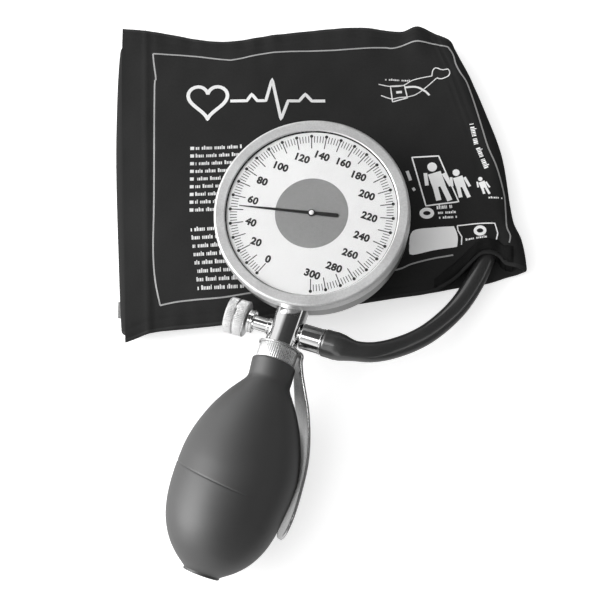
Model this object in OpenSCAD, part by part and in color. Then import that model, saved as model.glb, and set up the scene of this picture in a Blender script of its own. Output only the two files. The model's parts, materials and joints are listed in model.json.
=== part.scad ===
// Palm-type aneroid blood pressure monitor with its folded upper-arm cuff.
// The gauge and bulb handle lies across the folded cuff and on the table, as in use.
// Millimetres, +Z up, origin under the middle of the object on the table.

/* [Handle placing] */
// Handle origin, on the stem axis beside the dial centre: across
handle_x = 1.6; // [-10:0.1:10]
// Handle origin: along
handle_y = 26.3; // [15:0.1:35]
// Handle origin: height above the table
handle_z = 29.2; // [28.5:0.1:31]
// Stem turned clockwise from +Y, seen from above, in degrees
handle_yaw = 18.8; // [15:0.1:22]
// Right side raised, in degrees
handle_roll = 5; // [3:0.1:6]
// Gauge end raised, in degrees
handle_pitch = 2; // [1.5:0.1:2.5]

/* [Gauge] */
// Dial centre beside the stem axis
gauge_x = -3.5; // [-4:0.1:0]
// Dial face above the stem axis
gauge_z = 12.5; // [12:0.1:13]
// Outer radius of the bezel ring
bezel_r = 40.1; // [39.5:0.1:41]
// Outer radius of the case
case_r = 38.6; // [38:0.1:39]
// Depth of the case below the dial face
case_depth = 22; // [21:0.5:24]
// Rounding of the case's back edge
case_round = 7; // [6:0.5:7]
// Radius of the dial plate
dial_r = 36.2; // [36:0.1:36.4]
// Radius of the clear opening of the bezel
window_r = 35.4; // [35.2:0.1:35.5]
// Pointer length from its arbor to its tip
pointer_l = 29.9; // [28:0.1:31]
// Pointer tail length
tail_l = 11.1; // [9:0.1:12]
// Pointer angle at rest, anticlockwise from the handle's right
pointer_rest = 190.6; // [180:0.1:200]

/* [Movement] */
// Radius of the pressure capsule
capsule_r = 14; // [12:0.5:14]

/* [Valve column] */
// Radius of the polished column
column_r = 6.7; // [6.5:0.1:7]
// Distance of the cross axis from the handle origin
cross_y = -47.4; // [-48:0.1:-47]
// Radius of the release knob
knob_r = 7.5; // [7:0.1:8]
// Thickness of the release knob
knob_t = 8.5; // [8:0.1:9]
// Flutes round the release knob
knob_flutes = 60; // [40:1:72]
// Radius of the hose connector
connector_r = 5.2; // [5:0.1:5.5]
// Radius of the knurled clamp collar
collar_r = 8.1; // [7.9:0.1:8.2]
// Flutes round the clamp collar
collar_flutes = 54; // [36:1:60]

/* [Bulb and spoon] */
// How far the bulb sags below the stem axis, down to the table
bulb_sag = 1.1; // [1:0.05:1.15]
// Outer radius of the bulb's neck
neck_r = 9.2; // [9:0.1:9.4]
// Rubber wall thickness
bulb_wall = 2.2; // [1.8:0.1:2.6]
// Spoon turned below the handle's right side, in degrees
spoon_turn = 25; // [20:1:28]
// Width of the spoon at its widest
spoon_w = 18; // [16:0.5:19]
// Sheet thickness of the spoon
spoon_t = 0.9; // [0.8:0.1:1]

/* [Hose] */
// Outer radius of the hose
hose_r = 4.15; // [4:0.05:4.3]
// Radius of the hose where it is stretched over the connector
hose_end_r = 5.7; // [5.4:0.1:5.8]

/* [Cuff] */
// Middle of the folded cuff: across
cuff_x = 0.6; // [0:0.1:1.2]
// Middle of the folded cuff: along
cuff_y = 0.8; // [0:0.1:1.6]
// Thickness of each cloth
cloth_t = 0.6; // [0.4:0.1:0.8]
// Half thickness of the padded top panel
top_half = 2.6; // [2.4:0.1:2.7]
// Half thickness of the thin bottom panel
bottom_half = 1.7; // [1.5:0.1:1.8]
// Half thickness at the sewn edges
edge_half = 0.8; // [0.7:0.1:1]
// Rise of the top panel over the hose
arch_rise = 5; // [4.5:0.1:6]

/* [Hidden] */
$fn = 64;

// Gauge levels, from the dial face
floor_z = -case_depth + 1.4;
base_z = -12;
bridge_z = -5.2;
sector_z = -7.2;
rocker_z = -10;

// Gearing: module, teeth on the pinion, teeth of a full sector wheel, teeth cut on the sector
gear_module = 0.3;
pinion_teeth = 8;
sector_full_teeth = 100;
sector_teeth = 12;
pinion_r = gear_module * pinion_teeth / 2;
sector_r = gear_module * sector_full_teeth / 2;
// Push lengths: the sector's tail, and the rocker's arms
tail_arm = 4;
rocker_arm = 3.4;

// The movement is laid out turned, with the sector's pivot on its own +Y
movement_turn = 34;
pivot_y = pinion_r + sector_r;
tooth_step = 360 / sector_full_teeth;
rocker_x = 2.2;
capsule_x = rocker_x + rocker_arm;
capsule_y = 6;
post_angles = [75, 195, 315];
post_ring = 16.8;

// Pressure pipe: radius, where it bends down, how far down, and its run to the capsule's seat
pipe_r = 1;
pipe_bend_y = -22;
pipe_drop = 7;
pipe_run = 24.8;

// Stations along the stem, from the gauge to the bulb
socket_y = -41.5;
shoulder_y = -54.2;
collar_y = -55.1;
collar_end = -61.6;
nipple_end = -75;
bulb_end = -152.8;
inlet_y = bulb_end + 1.6;
spoon_end = -128;

// Stations along the cross axis
bushing_end = -16;
knob_x = -16.5;
connector_end = 16.2;

// Route of the hose, from the connector's face to the bladder port
hose_route = [
    [1.7, -23.8, 29], [5.6, -25.1, 29.4], [9.6, -26.4, 29.6], [14.6, -27.6, 29.4], [20.6, -27.8, 28.2],
    [26.6, -26.5, 26.2], [32.6, -24, 23.4], [38.1, -21, 20.5], [43.6, -17.2, 17.5], [48.6, -12.8, 14.8],
    [53.2, -8.1, 12.5], [57.4, -3.2, 10.8], [60.9, 1.8, 9.6], [64, 7.1, 8.9], [66.8, 12.4, 8.5],
    [69.2, 18.1, 8.4], [70.9, 24.1, 8.4]
];
hose_sides = 12;
// Bladder port: from the hose's end to its riser, and up to the lining
port_l = 5;
port_rise = 3.4;

// Plan outlines of the folded cuff: distance along X, then distance along Y
top_front = [[-90, -19.5], [-80.5, -17.2], [-70.3, -13.4], [-60, -11.9], [-40, -9.9], [15, -0.5],
    [34, 2.3], [47, 4.6], [56, 9.8], [62, 14.9], [66.6, 19], [70.7, 19.8], [74.5, 18.6], [77, 15.8],
    [90, 13.5]];
top_back = [[-90, 122.1], [-68, 118.4], [-42, 114.2], [-17, 117.7], [17, 120.7], [35, 118.7],
    [42, 121], [50, 117.6], [57, 114.6], [64, 110.5]];
bottom_front = [[-90, -12], [-40, -7], [15, 1.9], [32, 4.7], [48, 7.2], [57, 9], [70, 11], [80, 14.2],
    [90, 16]];
bottom_back = [[-90, 112.5], [-30, 112], [40, 115.5], [62, 109]];
// The right fold: share of the way from front to back, then its outermost X
right_fold = [[0, 87.9], [0.12, 85], [0.2, 81.5], [0.48, 77.6], [0.7, 70.9], [0.87, 65.3],
    [0.95, 61.4], [1, 59.4]];
// Where each stretch of the folded ribbon ends: top, right fold, bottom, left fold, middle
ribbon_stops = [0.4, 0.46, 0.82, 0.86, 1];
middle_half = 2.1;
middle_end = 45;
// Extra crown of the padding where the gauge leans on it
gauge_crown = 1;

// Common helpers
function mix(a, b, s) = a + (b - a) * s;
function clamp01(s) = min(1, max(0, s));
function smooth(s) = let (c = clamp01(s)) c * c * (3 - 2 * c);
function bell(x, middle, half) = smooth(1 - abs(x - middle) / half);
function unit(v) = v / norm(v);

module on_handle() {
    translate([handle_x, handle_y, handle_z])
        rotate([handle_pitch, -handle_roll, -handle_yaw]) children();
}

module on_gauge() {
    on_handle() translate([gauge_x, 0, gauge_z]) children();
}

module on_movement() {
    on_gauge() rotate([0, 0, movement_turn]) children();
}

// A turned piece along the stem: outline as [radius, distance towards the bulb]
module turned(outline) {
    on_handle() rotate([90, 0, 0]) rotate_extrude() polygon(outline);
}

// A round bar along the stem, between two stations
module stem_bar(r, from_y, to_y) {
    translate([0, from_y, 0]) rotate([90, 0, 0]) cylinder(r = r, h = from_y - to_y);
}

// A round bar along the cross axis, between two stations
module cross_bar(r, from_x, to_x) {
    translate([from_x, cross_y, 0]) rotate([0, 90, 0]) cylinder(r = r, h = to_x - from_x);
}

// A fluted disc, standing on the ground plane
module fluted_disc(r, depth, flutes, h) {
    half = 90 / flutes;
    linear_extrude(height = h) polygon([
        for (i = [0 : flutes * 2 - 1])
            let (a = i * 2 * half, rr = r - (i % 2) * depth) [rr * cos(a), rr * sin(a)]
    ]);
}

// Gauge

module gauge_case() {
    color("dimgray") on_gauge() difference() {
        rotate_extrude() polygon([
            [0, -case_depth],
            for (a = [-90 : 15 : 0])
                [case_r - case_round + case_round * cos(a), case_round - case_depth + case_round * sin(a)],
            [case_r, 0.95], [case_r - 1.6, 0.95], [case_r - 1.6, -0.8],
            [dial_r - 1.8, -0.8], [dial_r - 1.8, -2.4], [case_r - 1.4, -3.6],
            for (a = [0 : -15 : -90])
                [case_r - case_round + (case_round - 1.4) * cos(a),
                    case_round - case_depth + (case_round - 1.4) * sin(a)],
            [0, floor_z]
        ]);
        translate([-gauge_x, -30, -gauge_z]) rotate([90, 0, 0]) cylinder(r = column_r, h = 12);
        rotate([0, 0, movement_turn]) at_posts(-case_depth - 1) {
            cylinder(r = 1.2, h = 4);
            cylinder(r = 2.3, h = 1.6);
        }
    }
}

module bezel_ring() {
    color("silver") on_gauge() rotate_extrude() polygon([
        [case_r, -5.2], [bezel_r - 0.5, -5.2], [bezel_r, -4.7],
        for (a = [0 : 22.5 : 90]) [bezel_r - 1 + cos(a), 0.4 + sin(a)],
        [window_r + 0.15, 1.4], [window_r, 1.25], [window_r, 0.95], [case_r, 0.95]
    ]);
}

module lens_gasket() {
    color("black") on_gauge() rotate_extrude()
        polygon([[window_r - 0.1, 0], [36.9, 0], [36.9, 0.25], [window_r - 0.1, 0.25]]);
}

// Shallow dome with a flat rim under the bezel
module lens() {
    rim = window_r - 0.1;
    function dome(r, z) = [r, z + (rim * rim - r * r) / 542];
    color([0.85, 0.9, 0.95, 0.3]) on_gauge() rotate_extrude() polygon([
        for (k = [0 : 6]) dome(rim * k / 6, 0.25),
        [36.9, 0.25], [36.9, 0.95],
        for (k = [6 : -1 : 0]) dome(rim * k / 6, 0.95)
    ]);
}

module dial_plate() {
    color("white") on_gauge() translate([0, 0, -0.8]) difference() {
        cylinder(r = dial_r, h = 0.8, $fn = 128);
        translate([0, 0, -1]) cylinder(r = 1.2, h = 3);
    }
}

module pointer() {
    color("black") on_gauge() rotate([0, 0, pointer_rest]) translate([0, 0, 0.35]) difference() {
        union() {
            cylinder(r = 1.5, h = 0.45);
            linear_extrude(height = 0.25) polygon([
                [0, -0.6], [pointer_l, -0.16], [pointer_l, 0.16], [0, 0.6],
                [-tail_l, 0.85], [-tail_l, -0.85]
            ]);
            translate([-tail_l, 0, 0]) cylinder(r = 0.85, h = 0.25);
        }
        translate([0, 0, -1]) cylinder(r = 0.5, h = 3);
    }
}

module pointer_cap() {
    color("white") on_gauge() translate([0, 0, 0.8])
        rotate_extrude() polygon([[0, 0], [1, 0], [1, 0.35], [0.6, 0.6], [0, 0.6]]);
}

// Movement inside the case

// Straight-flanked teeth on a rim from tooth number first to last
module teeth(r, count, first, last, root, tip, share, h) {
    step = 360 / count;
    linear_extrude(height = h) for (i = [first : last]) rotate([0, 0, i * step])
        polygon([
            for (side = [-1, 1]) for (p = side < 0 ? [0, 1, 2] : [2, 1, 0])
                let (rr = [r - root, r, r + tip][p], w = step * share * [0.62, 0.5, 0.22][p])
                    [rr * cos(side * w), rr * sin(side * w)]
        ]);
}

module arbor_pinion() {
    color("goldenrod") on_gauge() {
        translate([0, 0, base_z + 0.2]) cylinder(r = 0.5, h = 0.6 - base_z);
        translate([0, 0, sector_z - 0.6]) cylinder(r = pinion_r - 0.4, h = 1.8);
        rotate([0, 0, movement_turn + 90 + 180 / pinion_teeth]) translate([0, 0, sector_z - 0.6])
            teeth(pinion_r, pinion_teeth, 0, pinion_teeth - 1, 0.5, 0.26, 0.36, 1.8);
        translate([0, 0, -3.6]) cylinder(r = 1.3, h = 1.2);
    }
}

module hairspring() {
    turns = 4;
    steps = turns * 16;
    function spiral(i, w) = let (a = 360 * turns * i / steps, r = mix(1.8, 6.6, i / steps) + w)
        [r * cos(a), r * sin(a)];
    color("slategray") on_gauge() translate([0, 0, -3.4]) {
        linear_extrude(height = 0.7) polygon([
            for (i = [0 : steps]) spiral(i, -0.09),
            for (i = [steps : -1 : 0]) spiral(i, 0.09)
        ]);
        translate([6.8, 0, -0.8]) cylinder(r = 0.5, h = 1.8);
    }
}

module movement_disc(z, t) {
    translate([capsule_x, capsule_y, z]) cylinder(r = 19, h = t);
}

module movement_base() {
    color("goldenrod") on_movement() difference() {
        movement_disc(base_z, 1);
        for (p = [[0, 0, 0.53], [0, pivot_y, 0.63], [capsule_x, capsule_y, 1.9]])
            translate([p[0], p[1], base_z - 1]) cylinder(r = p[2], h = 3);
    }
}

module movement_bridge() {
    color("goldenrod") on_movement() difference() {
        movement_disc(bridge_z, 1);
        for (p = [[0, 0, 0.53], [0, pivot_y, 0.63]])
            translate([p[0], p[1], bridge_z - 1]) cylinder(r = p[2], h = 3);
    }
}

// Places the three posts that hold the movement, at a height
module at_posts(z) {
    for (a = post_angles)
        translate([capsule_x + post_ring * cos(a), capsule_y + post_ring * sin(a), z]) children();
}

module movement_pillars() {
    color("darkgoldenrod") on_movement() at_posts(base_z + 1)
        cylinder(r = 1.5, h = bridge_z - base_z - 1);
}

module movement_feet() {
    color("darkgoldenrod") on_movement() at_posts(floor_z) difference() {
        cylinder(r = 1.9, h = base_z - floor_z);
        translate([0, 0, -1]) cylinder(r = 1.1, h = 4.5);
    }
}

module sector_gear() {
    color("goldenrod") on_movement() translate([0, pivot_y, 0]) {
        translate([0, 0, base_z + 0.2]) cylinder(r = 0.6, h = bridge_z - base_z + 0.6);
        translate([0, 0, sector_z]) {
            cylinder(r = 1.7, h = 0.8);
            translate([-0.5, 0, 0]) cube([1, tail_arm + 0.8, 0.8]);
            for (a = [-98 + 20, -98 - 18]) rotate([0, 0, a])
                translate([0, -0.5, 0]) cube([sector_r - 1.4, 1, 0.8]);
            intersection() {
                difference() {
                    cylinder(r = sector_r - 0.42, h = 0.8, $fn = 128);
                    translate([0, 0, -1]) cylinder(r = sector_r - 2.2, h = 3, $fn = 128);
                }
                linear_extrude(height = 0.8) polygon([
                    [0, 0],
                    for (a = [-8.5 - 21.6, -8.5, -8.5 + 21.6])
                        30 * [cos(a - 90), sin(a - 90)]
                ]);
            }
            rotate([0, 0, -90 - tooth_step * 2])
                teeth(sector_r, sector_full_teeth, -sector_teeth / 2, sector_teeth / 2 - 1,
                    0.5, 0.26, 0.36, 0.8);
        }
    }
}

module rocker() {
    color("slategray") on_movement() {
        translate([rocker_x, capsule_y - 1.2, rocker_z]) rotate([-90, 0, 0])
            cylinder(r = 0.55, h = pivot_y + tail_arm + 0.8 - capsule_y + 1.2);
        translate([rocker_x, capsule_y - 0.6, rocker_z - 0.4]) cube([rocker_arm + 0.8, 1.2, 0.8]);
        translate([0.85, pivot_y + tail_arm - 0.5, rocker_z - 0.4]) cube([1.9, 1.1, 4.2]);
    }
}

module rocker_brackets() {
    color("darkgoldenrod") on_movement() for (y = [capsule_y + 3, pivot_y - 2.4]) difference() {
        translate([rocker_x - 1.2, y, base_z + 1]) cube([2.4, 0.9, 2.1]);
        translate([rocker_x, y - 1, rocker_z]) rotate([-90, 0, 0]) cylinder(r = 0.6, h = 3);
    }
}

// Ripples of one diaphragm, from its middle to its rim
module diaphragm(z, way) {
    translate([capsule_x, capsule_y, z]) rotate_extrude() polygon([
        [0, 0],
        for (r = [2 : 2 : capsule_r - 2]) [r, way * (r % 4 == 0 ? 0 : -0.35)],
        [capsule_r, -way * 1.2], [capsule_r, -way * 1.7],
        for (r = [capsule_r - 2 : -2 : 2]) [r, way * (r % 4 == 0 ? -0.5 : -0.85)],
        [0, -way * 0.5]
    ]);
}

module capsule_base() {
    color("peru") on_movement() {
        diaphragm(-18.4, -1);
        translate([capsule_x, capsule_y, floor_z]) cylinder(r = 6, h = -18 - floor_z);
    }
}

module capsule_top() {
    color("peru") on_movement() {
        diaphragm(-14.6, 1);
        translate([capsule_x, capsule_y, -15]) cylinder(r = 1.4, h = 2.8);
        translate([capsule_x, capsule_y, -15]) cylinder(r = 0.45, h = 15 + rocker_z - 0.7);
    }
}

// From the socket down to the floor, then along it to the capsule's seat
module pressure_pipe() {
    color("peru") on_handle() {
        translate([0, pipe_bend_y, 0]) rotate([90, 0, 0]) cylinder(r = pipe_r, h = pipe_bend_y + 30);
        translate([0, pipe_bend_y, 0]) sphere(r = pipe_r);
        translate([0, pipe_bend_y, -pipe_drop]) cylinder(r = pipe_r, h = pipe_drop);
        translate([0, pipe_bend_y, -pipe_drop]) sphere(r = pipe_r);
        translate([0, pipe_bend_y, -pipe_drop]) rotate([-90, 0, 0]) cylinder(r = pipe_r, h = pipe_run);
    }
}

module gauge_socket() {
    color("silver") on_handle() difference() {
        union() {
            stem_bar(column_r, -30, socket_y);
            stem_bar(7.2, -30, -32.5);
        }
        stem_bar(4.5, -34, socket_y - 1);
        stem_bar(pipe_r, -29, -35);
    }
}

module case_screws() {
    color("silver") on_movement() at_posts(-case_depth) difference() {
        union() {
            cylinder(r = 2.25, h = 0.6);
            cylinder(r = 1.1, h = 4.4);
        }
        translate([-3, -0.3, -1]) cube([6, 0.6, 1.3]);
    }
}

// Valve column, release valve and hose connector

module valve_column() {
    color("gainsboro") difference() {
        union() {
            turned([
                [0, 34.5], [4.5, 34.5], [4.5, -socket_y + 0.6], [6.15, -socket_y + 0.6],
                [6.15, -socket_y + 0.1], [column_r - 0.25, -socket_y + 0.1],
                [column_r, -socket_y + 0.35], [column_r, -shoulder_y - 0.3],
                [column_r - 0.3, -shoulder_y], [6.2, -shoulder_y], [6.2, -collar_end],
                [4.9, -collar_end], [5.3, 64], [4.9, 65], [5.3, 67.4], [4.9, 68.4], [5.3, 70.8],
                [4.7, -nipple_end], [0, -nipple_end]
            ]);
        }
        on_handle() {
            stem_bar(2, -34, -72);
            stem_bar(3.3, -71.5, nipple_end - 1);
            cross_bar(3.5, -8, -4.5);
            cross_bar(1.3, -5, 0);
            cross_bar(3.2, 4.2, 8);
            cross_bar(1.6, 0, 5);
        }
    }
}

module column_seal() {
    color("black") turned([[4.5, -socket_y], [6.1, -socket_y], [6.1, -socket_y + 0.6],
        [4.5, -socket_y + 0.6]]);
}

module release_bushing() {
    color("gainsboro") on_handle() difference() {
        union() {
            cross_bar(3.5, -7.4, -4.5);
            cross_bar(3, -13.4, -7.4);
            cross_bar(4.8, bushing_end, -13.4);
        }
        cross_bar(2.45, bushing_end - 1, -4);
    }
}

module release_o_ring() {
    color("black") on_handle() translate([-6.9, cross_y, 0]) rotate([0, 90, 0])
        rotate_extrude() translate([2.09, 0]) circle(r = 0.33, $fn = 24);
}

module release_spindle() {
    color("silver") on_handle() difference() {
        union() {
            cross_bar(2.4, knob_x - 5, -5);
            translate([-5, cross_y, 0]) rotate([0, 90, 0]) cylinder(r1 = 1.1, r2 = 0.5, h = 1.8);
        }
        translate([-7.4, cross_y, 0]) rotate([0, 90, 0]) rotate_extrude()
            polygon([[1.7, 0], [3, 0], [3, 1], [1.7, 1]]);
    }
}

module release_knob() {
    color("gainsboro") on_handle() translate([knob_x, cross_y, 0]) rotate([0, -90, 0]) difference() {
        union() {
            rotate_extrude() polygon([[0, 0], [knob_r - 1, 0], [knob_r - 0.6, 0.5],
                [knob_r - 0.6, knob_t - 0.6], [knob_r - 1.2, knob_t], [0, knob_t]]);
            translate([0, 0, 0.5]) fluted_disc(knob_r, 0.35, knob_flutes, 3.6);
            translate([0, 0, 4.9]) fluted_disc(knob_r, 0.35, knob_flutes, knob_t - 5.5);
        }
        translate([0, 0, -1]) cylinder(r = 2.4, h = 6);
        translate([0, 0, 4.1]) rotate_extrude()
            polygon([[knob_r - 1, 0], [knob_r + 1, 0], [knob_r + 1, 0.8], [knob_r - 1, 0.8]]);
    }
}

module hose_connector() {
    color("gainsboro") on_handle() translate([0, cross_y, 0]) rotate([0, 90, 0]) difference() {
        rotate_extrude() polygon([
            [0, 4.2], [3.2, 4.2], [3.2, 7], [connector_r - 0.4, 7.1], [connector_r, 7.5],
            [connector_r, connector_end - 0.6], [connector_r + 0.2, connector_end - 0.6],
            [connector_r + 0.2, connector_end], [3.4, connector_end], [3, 18], [3.8, 20.5], [3, 21],
            [3.8, 23.5], [3, 24], [3.6, 26.5], [2.8, 27.5], [0, 27.5]
        ]);
        cylinder(r = 1.6, h = 40);
    }
}

module clamp_collar() {
    color("gainsboro") on_handle() translate([0, collar_end, 0]) rotate([-90, 0, 0]) difference() {
        union() {
            cylinder(r = collar_r - 0.5, h = collar_y - collar_end);
            translate([0, 0, 0.5]) fluted_disc(collar_r, 0.3, collar_flutes, collar_y - collar_end - 1);
        }
        translate([0, 0, -1]) cylinder(r = 6.2, h = 10);
    }
}

module check_valve_seat() {
    color("silver") turned([[1.5, 73.6], [3.3, 73.6], [3.3, -nipple_end], [1.5, -nipple_end]]);
}

module check_valve_disc() {
    color("black") turned([[0, 72.7], [2.8, 72.7], [2.8, 73.5], [0, 73.5]]);
}

// Spoon

// Distance of the spoon's inner face from the stem axis, by station along the stem
spoon_line = [[-54.6, 8.5], [-58, 9], [-61, 10.2], [-65, 12], [-70, 14.6], [-76, 17.9],
    [-84, 21.5], [-92, 24.1], [-100, 25.7], [-110, 26.6], [-118, 26.9], [-124, 26.6], [-128, 26.1]];
spoon_steps = 36;

// Smooth curve through hand-chosen points, s from 0 to 1
function through(points, s) =
    let (n = len(points) - 1, u = clamp01(s) * n, i = min(n - 1, floor(u)), f = u - i,
         a = points[max(0, i - 1)], b = points[i], c = points[i + 1], d = points[min(n, i + 2)])
    0.5 * (2 * b + (c - a) * f + (2 * a - 5 * b + 4 * c - d) * f * f
        + (3 * b - a - 3 * c + d) * f * f * f);

module spoon_profile() {
    inner = [for (i = [0 : spoon_steps]) through(spoon_line, i / spoon_steps)];
    outer = [for (i = [spoon_steps : -1 : 0])
        let (a = through(spoon_line, i / spoon_steps - 0.01),
             b = through(spoon_line, i / spoon_steps + 0.01),
             t = unit(b - a))
            through(spoon_line, i / spoon_steps) + spoon_t * [t[1], -t[0]]];
    polygon(concat(inner, outer));
}

// Outline of the spoon laid flat, narrow at the ring and round at the tip
module spoon_outline() {
    polygon(concat(
        [[-50, 5], [-62, 5.2], [-78, spoon_w * 0.46], [-100, spoon_w / 2], [-118, spoon_w * 0.47]],
        [for (a = [80 : -20 : -80]) [spoon_end + 7 - 7 * cos(a), spoon_w * 0.42 * sin(a)]],
        [[-118, -spoon_w * 0.47], [-100, -spoon_w / 2], [-78, -spoon_w * 0.46], [-62, -5.2], [-50, -5]]
    ));
}

module spoon() {
    color("gainsboro") on_handle() rotate([0, spoon_turn, 0]) {
        intersection() {
            rotate([0, 0, 90]) mirror([0, 1, 0]) translate([0, 0, -spoon_w])
                linear_extrude(height = 2 * spoon_w) spoon_profile();
            rotate([90, 0, 90]) linear_extrude(height = 40) spoon_outline();
        }
        difference() {
            stem_bar(8.9, -54.25, -55.05);
            stem_bar(6.3, -53, -57);
        }
    }
}

// Bulb and its inlet valve

// Outer radius of the bulb, read at a distance from the handle origin
bulb_line = [[70, 8.6], [72, 10.1], [74, 11.5], [76, 13], [80, 15.6], [86, 18.8], [93, 21.5],
    [99, 23.2], [105, 24.2], [110, 24.4], [116, 24.3], [123, 23.75], [129, 22.9], [135, 21.25],
    [140, 18.95], [144, 16.3], [148, 12.5], [151, 8.6]];

function bulb_radius(d) = max(mix(neck_r, neck_r - 0.2, (d - 62) / 8), through_x(bulb_line, d));

// A ring is its radius, its distance, and how far it shares in the bulb's bend and sag.
// The rubber was moulded with its end and its seam a little askew.
bulb_sides = 40;
function bulb_ring(r, d, share) =
    let (bend = 0.5 * smooth((d - 61) / 8) * smooth((125 - d) / 20),
         sag = bulb_sag * smooth((d - 64) / 40), slant = smooth((d - 66) / 34))
    [for (k = [0 : bulb_sides - 1])
        let (a = 360 * k / bulb_sides, x = r * cos(a), z = r * sin(a))
            [x + share * bend, -d - slant * (0.067 * x + 0.261 * z), z - share * sag]];

module bulb() {
    outer = concat([66, 70.4, 71.5, 73, 75, 77, 79.5, 82, 85, 88, 92, 96], [for (d = [100 : 5 : 130]) d],
        [133, 136, 139, 141.5, 144, 146, 148, 149.5, 151]);
    inner = [146, 143, 139, 134, 128, 120, 110, 100, 92, 86, 81];
    rings = concat(
        [[neck_r - 0.7, 61.7, 0], [neck_r, 62.4, 0]],
        [for (d = outer) [bulb_radius(d), d, 1]],
        [[7.6, 151.7, 1], [7.6, -bulb_end, 1], [4.5, -bulb_end, 1], [4.5, 148.4, 1]],
        [for (d = inner) [bulb_radius(d) - bulb_wall, d, 1]],
        [[5.3, 75.6, 0], [5.3, 63.9, 0], [4.9, 61.8, 0]]
    );
    count = len(rings);
    color([0.2, 0.2, 0.2]) on_handle() polyhedron(
        [for (g = rings) each bulb_ring(g[0], g[1], g[2])],
        [for (i = [0 : count - 1]) for (k = [0 : bulb_sides - 1])
            let (a = i * bulb_sides, b = (i + 1) % count * bulb_sides, n = (k + 1) % bulb_sides)
                each [[a + k, b + k, b + n], [a + k, b + n, a + n]]],
        convexity = 8
    );
}

// The inlet valve sits deep in the bulb's end and sags with it
module at_inlet() {
    on_handle() translate([0, inlet_y, -bulb_sag]) children();
}

module inlet_valve_body() {
    color("silver") at_inlet() rotate([-90, 0, 0]) rotate_extrude() polygon([
        [1.5, 0.6], [4.1, 0.6], [4.5, 1], [4.5, 10.2], [3.2, 10.2], [3.2, 4], [1.5, 3]
    ]);
}

module inlet_valve_ball() {
    color("black") at_inlet() translate([0, 6.5, 0]) sphere(r = 2.2);
}

module inlet_valve_plate() {
    color("silver") at_inlet() difference() {
        stem_bar(3.2, 10.2, 9.4);
        for (a = [0 : 90 : 270]) translate([1.8 * cos(a), 0, 1.8 * sin(a)]) stem_bar(0.6, 11, 8);
    }
}

// Hose

function hose_tangent(i) = unit(hose_route[min(len(hose_route) - 1, i + 1)] - hose_route[max(0, i - 1)]);
function hose_radius(i) = mix(hose_end_r, hose_r, smooth((i - 1.6) / 2.6));

module hose() {
    rings = len(hose_route);
    points = [for (i = [0 : rings - 1])
        let (t = hose_tangent(i), side = unit(cross(t, [0, 0, 1])), up = cross(side, t),
             r = hose_radius(i))
            for (k = [0 : hose_sides - 1])
                hose_route[i] + r * (cos(360 * k / hose_sides) * side + sin(360 * k / hose_sides) * up)];
    walls = [for (i = [0 : rings - 2]) for (k = [0 : hose_sides - 1])
        let (a = i * hose_sides + k, b = i * hose_sides + (k + 1) % hose_sides)
            [a, b, b + hose_sides, a + hose_sides]];
    color([0.1, 0.1, 0.1]) polyhedron(points, concat(walls, [
        [for (k = [hose_sides - 1 : -1 : 0]) k],
        [for (k = [0 : hose_sides - 1]) (rings - 1) * hose_sides + k]
    ]), convexity = 8);
}

module bladder_port() {
    last = hose_route[len(hose_route) - 1];
    heading = atan2(hose_tangent(16)[1], hose_tangent(16)[0]);
    color("black") translate(last) rotate([0, 0, heading]) {
        rotate([0, 90, 0]) cylinder(r = hose_r, h = port_l);
        translate([port_l, 0, -hose_r]) cylinder(r = hose_r, h = hose_r + port_rise + 1.5);
        translate([port_l, 0, port_rise - 1.2]) cylinder(r = 6.5, h = 1.2);
    }
}

// Cuff: one flat pouch of two cloths, folded in three from its free end on top

function span(s, i) = clamp01((s - (i == 0 ? 0 : ribbon_stops[i - 1]))
    / (ribbon_stops[i] - (i == 0 ? 0 : ribbon_stops[i - 1])));
function stretch(s) = s < ribbon_stops[0] ? 0 : s < ribbon_stops[1] ? 1 : s < ribbon_stops[2] ? 2
    : s < ribbon_stops[3] ? 3 : 4;
// Fullness of the padding from the front edge to the back edge
function fullness(v) = 1 - pow(abs(2 * v - 1), 5);
function half_at(s, v) = mix(edge_half,
    mix(mix(mix(1.2, top_half, smooth(s / 0.1)), bottom_half, smooth((s - 0.38) / 0.08)),
        middle_half, smooth((s - 0.84) / 0.06)),
    fullness(v) * smooth((1.002 - s) / 0.06) * smooth((s + 0.03) / 0.06));
function left_x(v) = mix(-81.6, -84.4, smooth(v / 0.7));
function free_x(v) = mix(-80.3, -84, smooth(v));
function right_x(v) = through_x(right_fold, v) - 2.3;
// Smooth curve through an outline, read at a distance along X
function through_x(points, x) =
    let (n = len(points) - 1, i = max([0, for (k = [0 : n - 1]) if (points[k][0] <= x) k]),
         a = points[max(0, i - 1)], b = points[i], c = points[i + 1], d = points[min(n, i + 2)],
         w = c[0] - b[0], f = clamp01((x - b[0]) / w),
         m0 = (c[1] - a[1]) / (c[0] - a[0]) * w, m1 = (d[1] - b[1]) / (d[0] - b[0]) * w)
    b[1] * (1 + 2 * f) * (1 - f) * (1 - f) + m0 * f * (1 - f) * (1 - f)
        + c[1] * f * f * (3 - 2 * f) - m1 * f * f * (1 - f);
function lie_top(x, v) = 11.9 - 2.6 * (1 - fullness(v)) - 1.2 * bell(x, -84, 14)
    + 0.7 * bell(x, -10, 70) * fullness(v) + gauge_crown * bell(x, -36, 60) * bell(v, 0.33, 0.6)
    + (arch_rise + 1.2 * (1 - v)) * bell(x, 71, 17) * smooth(1 - v / 0.34)
    + 0.8 * bell(x, 42, 12) * smooth((v - 0.8) / 0.2);
function lie_middle(v) = 6.1 - 1.6 * (1 - fullness(v));
function lie_bottom(v) = half_at(0.6, v);

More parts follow.
